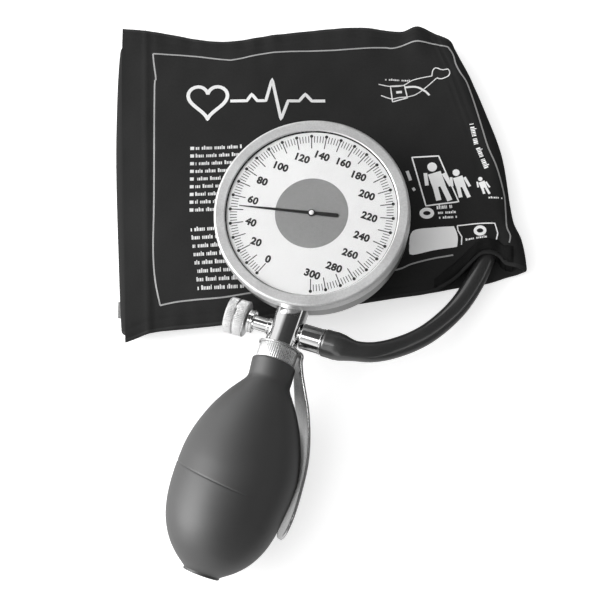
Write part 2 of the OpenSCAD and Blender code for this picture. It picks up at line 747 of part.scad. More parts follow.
// Middle line of the ribbon in the plane across the folds: X and Z at s, v
function fold_point(s, v) =
    let (k = stretch(s), u = span(s, k), xr = right_x(v), xl = left_x(v),
         zt = lie_top(xr - 5, v), zb = lie_bottom(v), zm = lie_middle(v),
         rr = (zt - zb) / 2, rl = (zm - zb) / 2)
    k == 0 ? let (x = mix(free_x(v), xr - rr, u)) [x, mix(lie_top(x, v), zt, smooth((u - 0.9) / 0.1))]
    : k == 1 ? [xr - rr + rr * sin(180 * u), (zt + zb) / 2 + rr * cos(180 * u)]
    : k == 2 ? [mix(xr - rr, xl + rl, u), zb]
    : k == 3 ? [xl + rl - rl * sin(180 * u), (zb + zm) / 2 - rl * cos(180 * u)]
    : [mix(xl + rl, middle_end, u), zm];
function ribbon_point(s, v, lift) =
    let (p = fold_point(s, v), a = fold_point(max(0, s - 0.002), v), b = fold_point(min(1, s + 0.002), v),
         t = unit(b - a), q = p + lift * [-t[1], t[0]], w = smooth((p[1] - 2) / 7),
         front = mix(through_x(bottom_front, p[0]), through_x(top_front, p[0]), w),
         back = mix(through_x(bottom_back, p[0]), through_x(top_back, p[0]), w))
    [q[0] + cuff_x, mix(front, back, v) + cuff_y, max(0, q[1])];

along = [
    for (i = [0 : 17]) ribbon_stops[0] * i / 18,
    for (i = [0 : 5]) mix(ribbon_stops[0], ribbon_stops[1], i / 6),
    for (i = [0 : 8]) mix(ribbon_stops[1], ribbon_stops[2], i / 9),
    for (i = [0 : 4]) mix(ribbon_stops[2], ribbon_stops[3], i / 5),
    for (i = [0 : 6]) mix(ribbon_stops[3], ribbon_stops[4], i / 6)
];
across_steps = 10;
across = [for (i = [0 : across_steps]) 0.5 - 0.5 * cos(180 * i / across_steps)];

// A closed sheet between two surfaces given as grids of points
module sheet(lower, upper) {
    rows = len(lower);
    columns = len(lower[0]);
    under = rows * columns;
    function at(i, j) = i * columns + j;
    points = [for (row = lower) for (p = row) p, for (row = upper) for (p = row) p];
    bottom = [for (i = [0 : rows - 2]) for (j = [0 : columns - 2])
        each [[at(i, j), at(i + 1, j), at(i, j + 1)], [at(i + 1, j), at(i + 1, j + 1), at(i, j + 1)]]];
    top = [for (f = bottom) [f[2] + under, f[1] + under, f[0] + under]];
    rim = concat(
        [for (j = [0 : columns - 1]) at(0, j)],
        [for (i = [1 : rows - 1]) at(i, columns - 1)],
        [for (j = [columns - 2 : -1 : 0]) at(rows - 1, j)],
        [for (i = [rows - 2 : -1 : 1]) at(i, 0)]
    );
    wall = [for (k = [0 : len(rim) - 1]) let (a = rim[k], b = rim[(k + 1) % len(rim)])
        each [[a, b, a + under], [b, b + under, a + under]]];
    polyhedron(points, concat(bottom, top, wall), convexity = 10);
}

// A sheet that follows the ribbon, with its two faces at set shares of the half thickness
module ribbon_sheet(ss, vs, low, low_gap, high, high_gap) {
    function lift(s, v, share, gap) = share * half_at(s, v) + gap;
    sheet(
        [for (s = ss) [for (v = vs) ribbon_point(s, v, lift(s, v, low, low_gap))]],
        [for (s = ss) [for (v = vs) ribbon_point(s, v, lift(s, v, high, high_gap))]]
    );
}

module cuff_outer_cloth() {
    color([0.13, 0.13, 0.14]) ribbon_sheet(along, across, 1, -cloth_t, 1, 0);
}

module cuff_inner_cloth() {
    color([0.16, 0.16, 0.17]) ribbon_sheet(along, across, -1, 0, -1, cloth_t);
}

module cuff_bladder() {
    color("dimgray") ribbon_sheet([for (s = along) if (s > 0.12 && s < 0.401) s],
        [for (v = across) if (v > 0.08 && v < 0.92) v], -1, cloth_t + 0.1, 1, -cloth_t - 0.1);
}

// The tape sewn over an edge, standing 1.4 out of it
module binding(v, outwards) {
    function side(s, way) = let (h = way * half_at(s, v), edge = ribbon_point(s, v, h),
        lip = ribbon_point(s, v, h * 0.7) + [0, 1.4 * outwards, 0])
        outwards > 0 ? [edge, lip] : [lip, edge];
    sheet([for (s = along) side(s, -1)], [for (s = along) side(s, 1)]);
}

module cuff_binding_front() {
    color([0.1, 0.1, 0.11]) binding(0, -1);
}

module cuff_binding_back() {
    color([0.1, 0.1, 0.11]) binding(1, 1);
}

module hook_patch() {
    color([0.09, 0.09, 0.1]) ribbon_sheet([for (s = along) if (s > 0.01 && s < 0.08) s],
        [for (v = across) if (v > 0.08 && v < 0.92) v], -1, -0.7, -1, 0);
}

module loop_patch() {
    color([0.12, 0.12, 0.13]) ribbon_sheet([for (s = along) if (s > 0.87 && s < 0.98) s],
        [for (v = across) if (v > 0.08 && v < 0.92) v], 1, 0, 1, 0.6);
}

// Small bare loop of tape sewn to the left fold, standing out of it
module side_label() {
    color([0.15, 0.15, 0.15]) translate([cuff_x - 84, cuff_y - 6, 2.3]) cube([3, 7, 0.7]);
}

gauge_case();
bezel_ring();
lens_gasket();
lens();
dial_plate();
pointer();
pointer_cap();
arbor_pinion();
hairspring();
movement_base();
movement_bridge();
movement_pillars();
movement_feet();
sector_gear();
rocker();
rocker_brackets();
capsule_base();
capsule_top();
pressure_pipe();
gauge_socket();
case_screws();
valve_column();
column_seal();
release_bushing();
release_o_ring();
release_spindle();
release_knob();
hose_connector();
clamp_collar();
check_valve_seat();
check_valve_disc();
spoon();
bulb();
inlet_valve_body();
inlet_valve_ball();
inlet_valve_plate();
hose();
bladder_port();
cuff_outer_cloth();
cuff_inner_cloth();
cuff_bladder();
cuff_binding_front();
cuff_binding_back();
hook_patch();
loop_patch();
side_label();
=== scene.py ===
"""Looks of a palm-type aneroid blood pressure monitor lying on its folded arm cuff.

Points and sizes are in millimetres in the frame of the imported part; the meshes are in metres.
"""

import json
import math

import bmesh
import bpy
import numpy as np
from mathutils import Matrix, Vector
from mathutils.bvhtree import BVHTree


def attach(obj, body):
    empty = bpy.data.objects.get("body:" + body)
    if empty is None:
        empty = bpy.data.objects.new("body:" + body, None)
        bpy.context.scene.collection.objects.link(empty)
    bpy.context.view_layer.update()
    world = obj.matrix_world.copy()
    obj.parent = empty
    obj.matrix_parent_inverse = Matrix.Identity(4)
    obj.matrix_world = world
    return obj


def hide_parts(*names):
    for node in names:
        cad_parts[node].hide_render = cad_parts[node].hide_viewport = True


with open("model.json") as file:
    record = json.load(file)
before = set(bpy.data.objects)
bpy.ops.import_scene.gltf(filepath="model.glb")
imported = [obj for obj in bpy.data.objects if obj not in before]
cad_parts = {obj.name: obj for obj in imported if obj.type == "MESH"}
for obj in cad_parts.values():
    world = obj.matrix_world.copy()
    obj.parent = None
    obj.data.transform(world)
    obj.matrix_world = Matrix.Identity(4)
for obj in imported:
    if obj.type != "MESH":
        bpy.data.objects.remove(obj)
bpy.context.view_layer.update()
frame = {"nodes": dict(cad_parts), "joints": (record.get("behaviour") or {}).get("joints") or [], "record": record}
scene = bpy.context.scene
scene.view_settings.view_transform = "Standard"

MM = 0.001
TURN = 2 * math.pi


def unit(v):
    v = np.asarray(v, float)
    return v / np.linalg.norm(v)


# Frame of the handle, from the joints: the dial faces UP, the stem runs to the gauge along STEM
joints = {j["name"]: j for j in frame["joints"]}
UP = -unit(joints["pointer_turn"]["axis"])
STEM = -unit(joints["spoon_swing"]["axis"])
SIDE = unit(np.cross(STEM, UP))
DIAL = np.array(joints["pointer_turn"]["pos_m"]) / MM
RING_Y, CROSS_Y = -54.65, -47.4
HANDLE = np.array(joints["spoon_swing"]["pos_m"]) / MM - RING_Y * STEM
CROSS = HANDLE + CROSS_Y * STEM


# Camera, at the photograph's viewing angle
camera_data = bpy.data.cameras.new("camera")
camera_data.lens = 180
camera_data.sensor_width = 36
camera = bpy.data.objects.new("camera", camera_data)
camera.location = (-0.00761, -0.38358, 1.19180)
camera.rotation_euler = (math.radians(18), 0, 0)
scene.collection.objects.link(camera)
scene.camera = camera


def shade(mesh, sharp=None):
    """Smooth shading; edges steeper than so many degrees stay hard."""
    mesh.polygons.foreach_set("use_smooth", [True] * len(mesh.polygons))
    if sharp is not None:
        mesh.set_sharp_from_angle(angle=math.radians(sharp))


def placed(name, points, faces):
    """A mesh object from points in mm."""
    mesh = bpy.data.meshes.new(name)
    mesh.from_pydata((np.asarray(points, float) * MM).tolist(), [], faces)
    obj = bpy.data.objects.new(name, mesh)
    scene.collection.objects.link(obj)
    return obj


def solid(name, points, quads, normals=None, sharp=None, uv=None):
    """A closed mesh object from quads of points in mm; a triangle repeats a corner."""
    p, q = np.asarray(points, float), np.asarray(quads, int)
    a, b, c, d = (p[q[:, k]] for k in range(4))
    if (np.cross(a, b) * c).sum() + (np.cross(a, c) * d).sum() < 0:
        q = q[:, ::-1]
    faces = [list(dict.fromkeys(f)) for f in q.tolist()]
    obj = placed(name, p, [f for f in faces if len(f) > 2])
    mesh = obj.data
    if uv is not None:
        layer = mesh.uv_layers.new(name="cloth")
        corner = np.zeros(len(mesh.loops), int)
        mesh.loops.foreach_get("vertex_index", corner)
        layer.data.foreach_set("uv", np.asarray(uv, float)[corner].ravel())
    shade(mesh, sharp)
    if normals is not None:
        mesh.normals_split_custom_set_from_vertices(np.asarray(normals).tolist())
    return obj


def quads_of(rings, closed):
    """Quads between rings of point numbers; each ring closes on itself."""
    nxt = np.roll(rings, -1, axis=0) if closed else rings[1:]
    own = rings if closed else rings[:-1]
    return np.stack(
        [own, np.roll(own, -1, axis=1), np.roll(nxt, -1, axis=1), nxt], axis=-1
    ).reshape(-1, 4)


def capped(name, sections, **look):
    """A solid through like sections of points, closed by a middle point at each end."""
    sections = np.asarray(sections, float)
    rows, count = sections.shape[:2]
    points = np.concatenate([sections.reshape(-1, 3), sections[[0, -1]].mean(axis=1)])
    rings = np.arange(rows * count).reshape(rows, count)
    first, last = (np.full((1, count), rows * count + k) for k in (0, 1))
    return solid(name, points, quads_of(np.concatenate([first, rings, last]), False), **look)


def sheet_quads(low, high):
    """Quads of a closed sheet between two like grids of point numbers."""
    faces = [np.stack([g[:-1, :-1], g[1:, :-1], g[1:, 1:], g[:-1, 1:]], -1).reshape(-1, 4)[:, ::way]
             for g, way in ((low, 1), (high, -1))]
    a, b = (np.concatenate([g[0, :], g[1:, -1], g[-1, -2::-1], g[-2:0:-1, 0]]) for g in (low, high))
    return np.concatenate(faces + [np.stack([a, np.roll(a, -1), np.roll(b, -1), b], -1)])


def smooth(x):
    c = np.clip(x, 0, 1)
    return c * c * (3 - 2 * c)


def bell(x, middle, half):
    return smooth(1 - np.abs(x - middle) / half)


def hump(off, reach):
    return np.exp(-((off / reach) ** 2))


def mix(a, b, s):
    return a + (b - a) * s


def spokes(count, a, b):
    """Points of a unit circle in the plane of two directions."""
    turn = np.arange(count) * TURN / count
    return np.outer(np.cos(turn), a) + np.outer(np.sin(turn), b)


def lengths(line):
    """Distance along a line at each of its points."""
    return np.r_[0, np.cumsum(np.linalg.norm(np.diff(line, axis=0), axis=1))]


def directions(line):
    """Unit tangent of a line at each of its points."""
    step = np.gradient(line, axis=0)
    return step / np.linalg.norm(step, axis=1)[:, None]


def curve_through(points, count):
    """Points evenly spread along a smooth curve through given points."""
    p = np.asarray(points, float)
    n = len(p) - 1
    u = np.linspace(0, n, n * 24 + 1)
    i = np.minimum(u.astype(int), n - 1)
    f = (u - i)[:, None]
    a, b = p[np.maximum(i - 1, 0)], p[i]
    c, d = p[i + 1], p[np.minimum(i + 2, n)]
    line = 0.5 * (
        2 * b + (c - a) * f + (2 * a - 5 * b + 4 * c - d) * f**2
        + (3 * b - a - 3 * c + d) * f**3
    )
    along = lengths(line)
    at = np.linspace(0, along[-1], count)
    return np.stack([np.interp(at, along, line[:, k]) for k in range(p.shape[1])], axis=1)


HOSE_ROUTE = [
    (1.748, -23.791, 28.964), (5.6, -25.1, 29.4), (9.6, -26.4, 29.6), (14.6, -27.6, 29.4),
    (20.6, -27.8, 28.2), (26.6, -26.5, 26.2), (32.6, -24, 23.4), (38.1, -21, 20.5),
    (43.6, -17.2, 17.5), (48.6, -12.8, 14.8), (53.2, -8.1, 12.5), (57.4, -3.2, 10.8),
    (60.9, 1.8, 9.6), (64, 7.1, 8.9), (66.8, 12.4, 8.5), (69.2, 18.1, 8.4), (70.9, 24.1, 8.4),
]
HOSE_R, HOSE_END_R, HOSE_LIP, HOSE_SIDES = 4.15, 5.7, 0.7, 64
HOSE_BORE, HOSE_END_BORE = 3.4, 1.5


def hose_mesh():
    line = curve_through(HOSE_ROUTE, 140)
    along, tangent = lengths(line), directions(line)
    side = np.cross(tangent, [0, 0, 1.0])
    side /= np.linalg.norm(side, axis=1)[:, None]
    up = np.cross(side, tangent)
    # Stretched over the barb: a short flare that narrows in soft steps
    radius = mix(HOSE_END_R, HOSE_R, smooth((along - 5.5) / 9.5))
    for at, reach, high in ((5.2, 1.3, 0.1), (8.4, 1.2, 0.08)):
        radius += high * hump(along - at, reach)
    radius -= HOSE_LIP - np.sqrt(np.maximum(HOSE_LIP**2 - np.maximum(HOSE_LIP - along, 0) ** 2, 0))
    # The bore, the outside and the far end's bore: a place on the line and a radius each
    stations = [(6, HOSE_BORE), (0, HOSE_BORE), *enumerate(radius), (-1, HOSE_END_BORE),
                (-8, HOSE_END_BORE)]
    sections = [line[k] + r * spokes(HOSE_SIDES, side[k], up[k]) for k, r in stations]
    return capped("hose_tube", sections, sharp=50), line


hose, hose_line = hose_mesh()


FILLET = 0.1


def rounded(outline, closed, steps):
    """Corner points with a fillet each: points and outward normals of an outline.

    An entry is (radius, distance, fillet), where the fillet may be left out and a fillet of 0
    marks a point of a smooth curve.
    """
    p = np.array([o[:2] for o in outline], float)
    fillets = [o[2] if len(o) > 2 else FILLET for o in outline]
    area = (p[:, 0] * np.roll(p[:, 1], -1) - np.roll(p[:, 0], -1) * p[:, 1]).sum()
    if area < 0:
        p, fillets = p[::-1], fillets[::-1]
    n = len(p)
    points, normals = [], []
    for i in range(n):
        at_end = not closed and i in (0, n - 1)
        before = p[i] - p[i - 1] if i or closed else p[1] - p[0]
        after = p[(i + 1) % n] - p[i] if i < n - 1 or closed else before
        la, lb = np.linalg.norm(before), np.linalg.norm(after)
        t1, t2 = before / la, after / lb
        bend = math.atan2(t1[0] * t2[1] - t1[1] * t2[0], t1 @ t2)
        if at_end or fillets[i] == 0 or abs(bend) < 1e-3:
            t = t2 if at_end and i == 0 else t1 if at_end else unit(t1 + t2)
            points.append(p[i])
            normals.append((t[1], -t[0]))
            continue
        k = math.tan(abs(bend) / 2)
        d = min(fillets[i] * k, 0.48 * la, 0.48 * lb)
        r, way = d / k, math.copysign(1, bend)
        middle = p[i] - t1 * d + way * r * np.array([-t1[1], t1[0]])
        start = math.atan2(t1[1], t1[0])
        count = max(2, math.ceil(abs(bend) / (math.pi / 2) * steps))
        for j in range(count + 1):
            angle = start + bend * j / count
            left = np.array([-math.sin(angle), math.cos(angle)])
            points.append(middle - way * r * left)
            normals.append(-left)
    return np.array(points), np.array(normals)


def lathe(name, outline, origin, axis, side, segments=128, closed=True, steps=5, ripple=None):
    """A turned piece: an outline of (radius, distance, fillet) round an axis."""
    flat, flat_normals = rounded(outline, closed, steps)
    spoke = spokes(segments, side, np.cross(axis, side))
    turn = np.arange(segments) * TURN / segments
    points, normals, rings = [], [], []
    for (r, z), (nr, nz) in zip(flat, flat_normals):
        if r < 1e-6:
            rings.append(np.full(segments, len(points)))
            points.append(origin + z * axis)
            normals.append(axis * math.copysign(1, nz))
            continue
        rings.append(len(points) + np.arange(segments))
        reach = np.full(segments, r) - (ripple(turn, r) if ripple else 0)
        points.extend(origin + reach[:, None] * spoke + z * axis)
        normals.extend(nr * spoke + nz * axis)
    quads = quads_of(np.array(rings), closed)
    if ripple:
        return solid(name, points, quads, sharp=14)
    return solid(name, points, quads, normals=normals)


def bore(obj, cuts):
    """Cuts round holes: each is (start, axis, radius, length) in mm."""
    for start, axis, radius, length in cuts:
        axis = unit(axis)
        side = unit(np.cross(axis, [0.3, 0.2, 0.9]))
        start = np.asarray(start, float)
        tool = lathe("tool", [(0, 0), (radius, 0, 0.01), (radius, length, 0.01), (0, length)],
                     start, axis, side, 64, closed=False, steps=1)
        cut = obj.modifiers.new("cut", "BOOLEAN")
        cut.operation = "DIFFERENCE"
        cut.solver = "EXACT"
        cut.object = tool
        graph = bpy.context.evaluated_depsgraph_get()
        mesh = bpy.data.meshes.new_from_object(obj.evaluated_get(graph))
        obj.modifiers.clear()
        obj.data = mesh
        bpy.data.objects.remove(tool)
    shade(obj.data, 30)
    return obj


def on_dial(x, y, z):
    return DIAL + x * SIDE + y * STEM + z * UP


def offset_in(outline, by):
    p = np.asarray(outline, float)
    before, after = p - np.roll(p, 1, axis=0), np.roll(p, -1, axis=0) - p
    before /= np.linalg.norm(before, axis=1)[:, None]
    after /= np.linalg.norm(after, axis=1)[:, None]
    inward = np.stack([-(before + after)[:, 1], (before + after)[:, 0]], axis=1)
    inward /= np.maximum(np.linalg.norm(inward, axis=1), 1e-9)[:, None]
    cosine = np.clip((inward * np.stack([-after[:, 1], after[:, 0]], axis=1)).sum(1), 0.4, 1)
    return p + inward * (by / cosine)[:, None]


class Plates:
    """Flat closed plates and numbers, gathered into one mesh on the dial."""

    def __init__(self):
        self.points, self.faces = [], []

    def put(self, points, faces):
        base = len(self.points)
        self.points.extend(on_dial(*place) for place in points)
        self.faces.extend([base + i for i in face] for face in faces)

    def add(self, outline, low, high, bevel=0.0):
        """outline runs anticlockwise, in dial coordinates."""
        p = np.asarray(outline, float)
        layers = [(p, low), (p, high - bevel)]
        if bevel:
            layers.append((offset_in(p, bevel), high))
        rings = np.arange(len(layers) * len(p)).reshape(len(layers), -1)
        self.put([(x, y, z) for flat, z in layers for x, y in flat],
                 quads_of(rings, False).tolist() + [rings[0, ::-1].tolist(), rings[-1].tolist()])

    def number(self, text, centre):
        curve = bpy.data.curves.new("number", "FONT")
        curve.body = text
        curve.extrude = 0.5
        curve.offset = 0.048
        curve.space_character = 1.06
        curve.resolution_u = 6
        holder = bpy.data.objects.new("number", curve)
        mesh = bpy.data.meshes.new_from_object(holder)
        p = np.array([v.co for v in mesh.vertices])
        low, high = p.min(0), p.max(0)
        flat = (p[:, :2] - (low[:2] + high[:2]) / 2) * NUMBER_HIGH / (high[1] - low[1])
        places = turned(flat * (NUMBER_WIDE, 1), DIAL_TURN)
        self.put([(x + centre[0], y + centre[1], PRINT_TOP if z > 0 else 0.0)
                  for (x, y), z in zip(places, p[:, 2])], [f.vertices for f in mesh.polygons])
        bpy.data.objects.remove(holder)
        bpy.data.curves.remove(curve)
        bpy.data.meshes.remove(mesh)

    def object(self, name):
        obj = placed(name, self.points, self.faces)
        shell = bmesh.new()
        shell.from_mesh(obj.data)
        bmesh.ops.remove_doubles(shell, verts=shell.verts, dist=1e-7)
        bmesh.ops.recalc_face_normals(shell, faces=shell.faces)
        shell.to_mesh(obj.data)
        shell.free()
        shade(obj.data, 30)
        return obj


def polar(r, degrees):
    a = math.radians(degrees)
    return np.array([r * math.cos(a), r * math.sin(a)])


def circle(centre, r, count):
    return [np.asarray(centre) + polar(r, 360 * i / count) for i in range(count)]


def turned(outline, degrees):
    c, s = math.cos(math.radians(degrees)), math.sin(math.radians(degrees))
    return [(x * c - y * s, x * s + y * c) for x, y in outline]


def grey(value):
    return (value, value, value, 1)


def tint(value):
    """A colour as it is, or the grey of a number."""
    return value if isinstance(value, tuple) else grey(value)


class Nodes:
    """The nodes of a material or world, each made by one call that returns its results."""

    def __init__(self, owner, shader="Principled BSDF"):
        owner.use_nodes = True
        self.tree = owner.node_tree
        self.shader = self.tree.nodes[shader]

    def feed(self, node, inputs):
        """Sets or links a node's inputs."""
        for key, value in inputs.items():
            if isinstance(value, bpy.types.NodeSocket):
                self.tree.links.new(value, node.inputs[key])
            else:
                node.inputs[key].default_value = value

    def add(self, kind, inputs=None, **settings):
        made = self.tree.nodes.new("ShaderNode" + kind)
        for key, value in settings.items():
            setattr(made, key, value)
        self.feed(made, inputs or {})
        return made.outputs

    def maths(self, operation, *values):
        return self.add("Math", dict(enumerate(values)), operation=operation)[0]

    def spread(self, value, low, high, start=0.0, stop=1.0):
        """Maps low to high onto start to stop."""
        return self.add("MapRange", {"Value": value, "From Min": low, "From Max": high,
                                     "To Min": start, "To Max": stop})[0]

    def noise(self, place, scale, detail, rough=0.5):
        return self.add("TexNoise", {"Vector": place, "Scale": scale, "Detail": detail,
                                     "Roughness": rough})[0]

    def blend(self, share, dark, light):
        return self.add("Mix", {0: share, 6: dark, 7: light}, data_type="RGBA")[2]

    def relief(self, height, strength, mm):
        return self.add("Bump", {"Height": height, "Strength": strength, "Distance": mm * MM})[0]

    def show(self, result):
        self.feed(self.tree.nodes["Material Output"], {"Surface": result})


def surface(name, dark, light, low, high, metallic=0.0, grain=900.0, slow=30.0, bump=0.1,
            height=0.05, stretch=(1, 1, 1), pitch=None, **sockets):
    """Noise-mottled colour, roughness (low to high) and relief.

    grain and slow are spots per metre, and pitch is the way in mm between threads of cloth.
    """
    material = bpy.data.materials.new(name)
    nodes = Nodes(material)
    place = nodes.add("TexCoord")["Object"]
    scaled = nodes.add("Mapping", {"Vector": place, "Scale": stretch})[0]
    fine = nodes.noise(scaled, grain, 4.0, 0.62)
    both = nodes.maths("ADD", fine, nodes.noise(place, slow, 3.0))
    share = nodes.spread(both, 0.75, 1.25)
    nodes.feed(nodes.shader, {
        "Base Color": nodes.blend(share, tint(dark), tint(light)),
        "Roughness": nodes.spread(both, 0.75, 1.25, low, high),
        "Metallic": metallic,
        **{key.replace("_", " "): value for key, value in sockets.items()},
    })
    if pitch:
        weave(nodes, tint(light), pitch)
    elif bump:
        nodes.feed(nodes.shader, {"Normal": nodes.relief(fine, bump, height)})
    return material


def weave(nodes, light, pitch):
    """Plain weave in the cloth's own coordinates, with painted sheen that lightens each thread's crown."""
    place = nodes.add("TexCoord")["UV"]
    parts = nodes.add("SeparateXYZ", {"Vector": place})
    threads = [nodes.maths("SINE", nodes.maths("MULTIPLY", parts[k], TURN / (pitch * MM)))
               for k in (0, 1)]
    uneven = nodes.noise(place, 160.0, 3.0)
    height = nodes.maths("MULTIPLY", nodes.maths("MULTIPLY", *threads), uneven)
    plain = nodes.shader.inputs["Base Color"].links[0].from_socket
    # The raised crowns of the threads take the lighter colour: painted sheen
    painted_crown_sheen = nodes.spread(height, -0.5, 0.5, 0.0, 0.5)
    nodes.feed(nodes.shader, {"Base Color": nodes.blend(painted_crown_sheen, plain, light),
                              "Normal": nodes.relief(height, 0.35, 0.06)})


def clear_lens():
    material = bpy.data.materials.new("lens_clear")
    nodes = Nodes(material)
    haze = nodes.noise(nodes.add("TexCoord")["Object"], 60.0, 2.0)
    nodes.feed(nodes.shader, {"Base Color": grey(0.99), "Transmission Weight": 1.0, "IOR": 1.16,
                              "Roughness": nodes.spread(haze, 0.3, 0.7, 0.0, 0.02)})
    # Light falls through it onto the dial
    shadow = nodes.add("LightPath")["Is Shadow Ray"]
    clear = nodes.add("BsdfTransparent")[0]
    nodes.show(nodes.add("MixShader", {0: shadow, 1: nodes.shader.outputs[0], 2: clear})[0])
    return material


SATIN = dict(metallic=0.85, grain=1400.0, slow=60.0, bump=0.25, height=0.03)
CHROME = dict(metallic=1.0, grain=500.0, slow=40.0, bump=0.02, height=0.01)
METAL = dict(metallic=1.0, bump=0.06)
RUBBER = dict(grain=2600.0, slow=35.0, bump=0.25, height=0.03)
CLOTH = dict(grain=1500.0, slow=22.0, Specular_IOR_Level=0.3)
# Darkest and lightest grey or colour, lowest and highest roughness, and the rest
LOOKS = {
    "case_paint": (0.4, 0.48, 0.3, 0.4, SATIN),
    "bezel_satin": (0.74, 0.92, 0.34, 0.46, SATIN | dict(metallic=0.72)),
    "polished_chrome": (0.8, 0.86, 0.05, 0.1, CHROME),
    "spoon_chrome": (0.64, 0.73, 0.16, 0.24, CHROME | dict(metallic=0.85)),
    "knurled_nickel": (0.8, 0.95, 0.26, 0.36, dict(
        metallic=0.88, grain=1200.0, bump=0.35, height=0.02)),
    "dial_paint": (0.72, 0.76, 0.4, 0.5, dict(grain=700.0, bump=0.03)),
    "dial_ink": (0.008, 0.016, 0.4, 0.5, dict(bump=0.03)),
    "dial_grey_ink": (0.225, 0.255, 0.45, 0.55, dict(bump=0.03)),
    "pointer_paint": (0.012, 0.02, 0.3, 0.42, dict(bump=0.04)),
    "cap_white": (0.78, 0.84, 0.25, 0.35, dict(bump=0.02)),
    "gasket_rubber": (0.012, 0.022, 0.5, 0.65, RUBBER),
    "movement_brass": ((0.62, 0.42, 0.14, 1), (0.75, 0.53, 0.2, 1), 0.22, 0.36,
                       METAL | dict(stretch=(1, 8, 1))),
    "movement_steel": ((0.3, 0.33, 0.38, 1), (0.45, 0.48, 0.52, 1), 0.2, 0.34,
                       METAL | dict(bump=0.05)),
    "capsule_bronze": ((0.55, 0.31, 0.14, 1), (0.68, 0.42, 0.21, 1), 0.25, 0.4, METAL),
    "screw_steel": (0.5, 0.62, 0.2, 0.32, METAL),
    "bulb_rubber": (0.03, 0.039, 0.5, 0.58, RUBBER | dict(
        Specular_IOR_Level=1.0, Coat_Weight=0.5, Coat_Roughness=0.62, Coat_IOR=1.6)),
    "hose_rubber": (0.024, 0.036, 0.36, 0.42, RUBBER | dict(
        bump=0.08, height=0.02, Specular_IOR_Level=0.8, Coat_Weight=1.0, Coat_Roughness=0.16,
        Coat_IOR=1.7)),
    "port_plastic": (0.02, 0.03, 0.4, 0.5, dict(bump=0.08)),
    "nylon_face": (0.016, 0.0235, 0.62, 0.75, CLOTH | dict(pitch=0.5, Specular_IOR_Level=0.12)),
    "nylon_lining": (0.02, 0.03, 0.7, 0.8, CLOTH | dict(pitch=0.55)),
    "binding_tape": (0.018, 0.028, 0.7, 0.8, CLOTH | dict(pitch=0.6)),
    # cuff_hem is darker than the cloth it is turned from: painted shade in the roll at the hose's way in
    "cuff_hem": (0.007, 0.012, 0.7, 0.8, CLOTH | dict(pitch=0.6, Specular_IOR_Level=0.15)),
    "bladder_rubber": (0.035, 0.05, 0.5, 0.6, RUBBER),
    "hook_tape": (0.012, 0.03, 0.6, 0.75, dict(grain=1800.0, bump=0.6, height=0.2)),
    "loop_tape": (0.016, 0.034, 0.7, 0.85, dict(grain=1500.0, bump=0.7, height=0.2)),
    "label_tape": (0.02, 0.3, 0.5, 0.62, dict(grain=1200.0, bump=0.2)),
    "cuff_print": (0.62, 0.78, 0.5, 0.6, dict(grain=2400.0, bump=0.1)),
    "cuff_line": (0.26, 0.42, 0.55, 0.7, dict(grain=2400.0, bump=0.15)),
    # cuff_tag is a whiter copy of cuff_print's ink: painted light over the shade the gauge casts on the right of
    # the cuff
    "cuff_tag": (0.97, 1.0, 0.5, 0.6, dict(grain=2400.0, bump=0.08)),
}
MATERIALS = {name: surface(name, *look[:4], **look[4]) for name, look in LOOKS.items()}
MATERIALS["lens_clear"] = clear_lens()


def dress(obj, slot, *nodes, body="monitor", look=None):
    """Gives a piece the material of its look, or else of its slot, puts it on its body and hides the nodes that it
    stands for.
    """
    obj.data.materials.clear()
    obj.data.materials.append(MATERIALS[look or slot])
    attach(obj, body)
    if nodes:
        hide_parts(*nodes)
    return obj


for part in frame["record"]["subparts"]:
    kept = frame["nodes"][part["node"]]
    kept.data.materials.clear()
    kept.data.materials.append(MATERIALS[part["material_slot"]])

dress(hose, "hose_rubber", "hose")


# Gauge
CASE_DEPTH = 22
MOVEMENT_AT, MOVEMENT_TURN, SCREW_CIRCLE = (5.6, 6), 34, 16.8

bezel = lathe("bezel", [
    (38.6, -5.2), (40.1, -5.2, 0.5), (40.1, 1.4, 1.0), (35.8, 1.4, 0.25), (35.4, 1.1),
    (35.4, 0.95, 0.05), (38.6, 0.95, 0.05),
], DIAL, UP, SIDE, 256, steps=8)
dress(bezel, "bezel_satin", "bezel_ring")

case = lathe("case", [
    (0, -CASE_DEPTH), (38.6, -CASE_DEPTH, 7), (38.6, 0.95), (37, 0.95, 0.05), (37, -0.8, 0.05),
    (34.4, -0.8), (34.4, -2.4), (37.2, -3.6, 0.3), (37.2, -20.6, 5.6), (0, -20.6),
], DIAL, UP, SIDE, 192, closed=False, steps=9)
screw_holes = []
screws = [MOVEMENT_AT + polar(SCREW_CIRCLE, angle) for angle in (75, 195, 315)]
for x, y in turned(screws, MOVEMENT_TURN):
    for radius, depth in ((1.2, 4), (2.35, 1.6)):
        screw_holes.append((on_dial(x, y, -CASE_DEPTH - 1), UP, radius, depth))
bore(case, [(HANDLE - 30 * STEM, -STEM, 6.75, 12)] + screw_holes)
dress(case, "case_paint", "gauge_case")

gasket = lathe("gasket", [(35.2, 0, 0.05), (36.9, 0, 0.05), (36.9, 0.25, 0.05), (35.2, 0.25)],
               DIAL, UP, SIDE, 192)
dress(gasket, "gasket_rubber", "lens_gasket")

DOME_R, DOME_FALL = 35.3, 542


def dome(r, z):
    return (r, z + (DOME_R**2 - r * r) / DOME_FALL, 0)


lens = lathe("lens_dome", [dome(r, 0.25) for r in np.linspace(0, DOME_R, 12)]
             + [(36.9, 0.25), (36.9, 0.95)] + [dome(r, 0.95) for r in np.linspace(DOME_R, 0, 12)],
             DIAL, UP, SIDE, 192, closed=False)
dress(lens, "lens_clear", "lens")

plate = lathe("dial_face", [(1.2, -0.8, 0.05), (36.2, -0.8), (36.2, 0, 0.12), (1.2, 0, 0.08)],
              DIAL, UP, SIDE, 192)
dress(plate, "dial_paint", "dial_plate")

# Printing on the dial
ZERO, SWEEP, TOP = 246.9, 319.15, 300
PRINT_TOP = 0.03

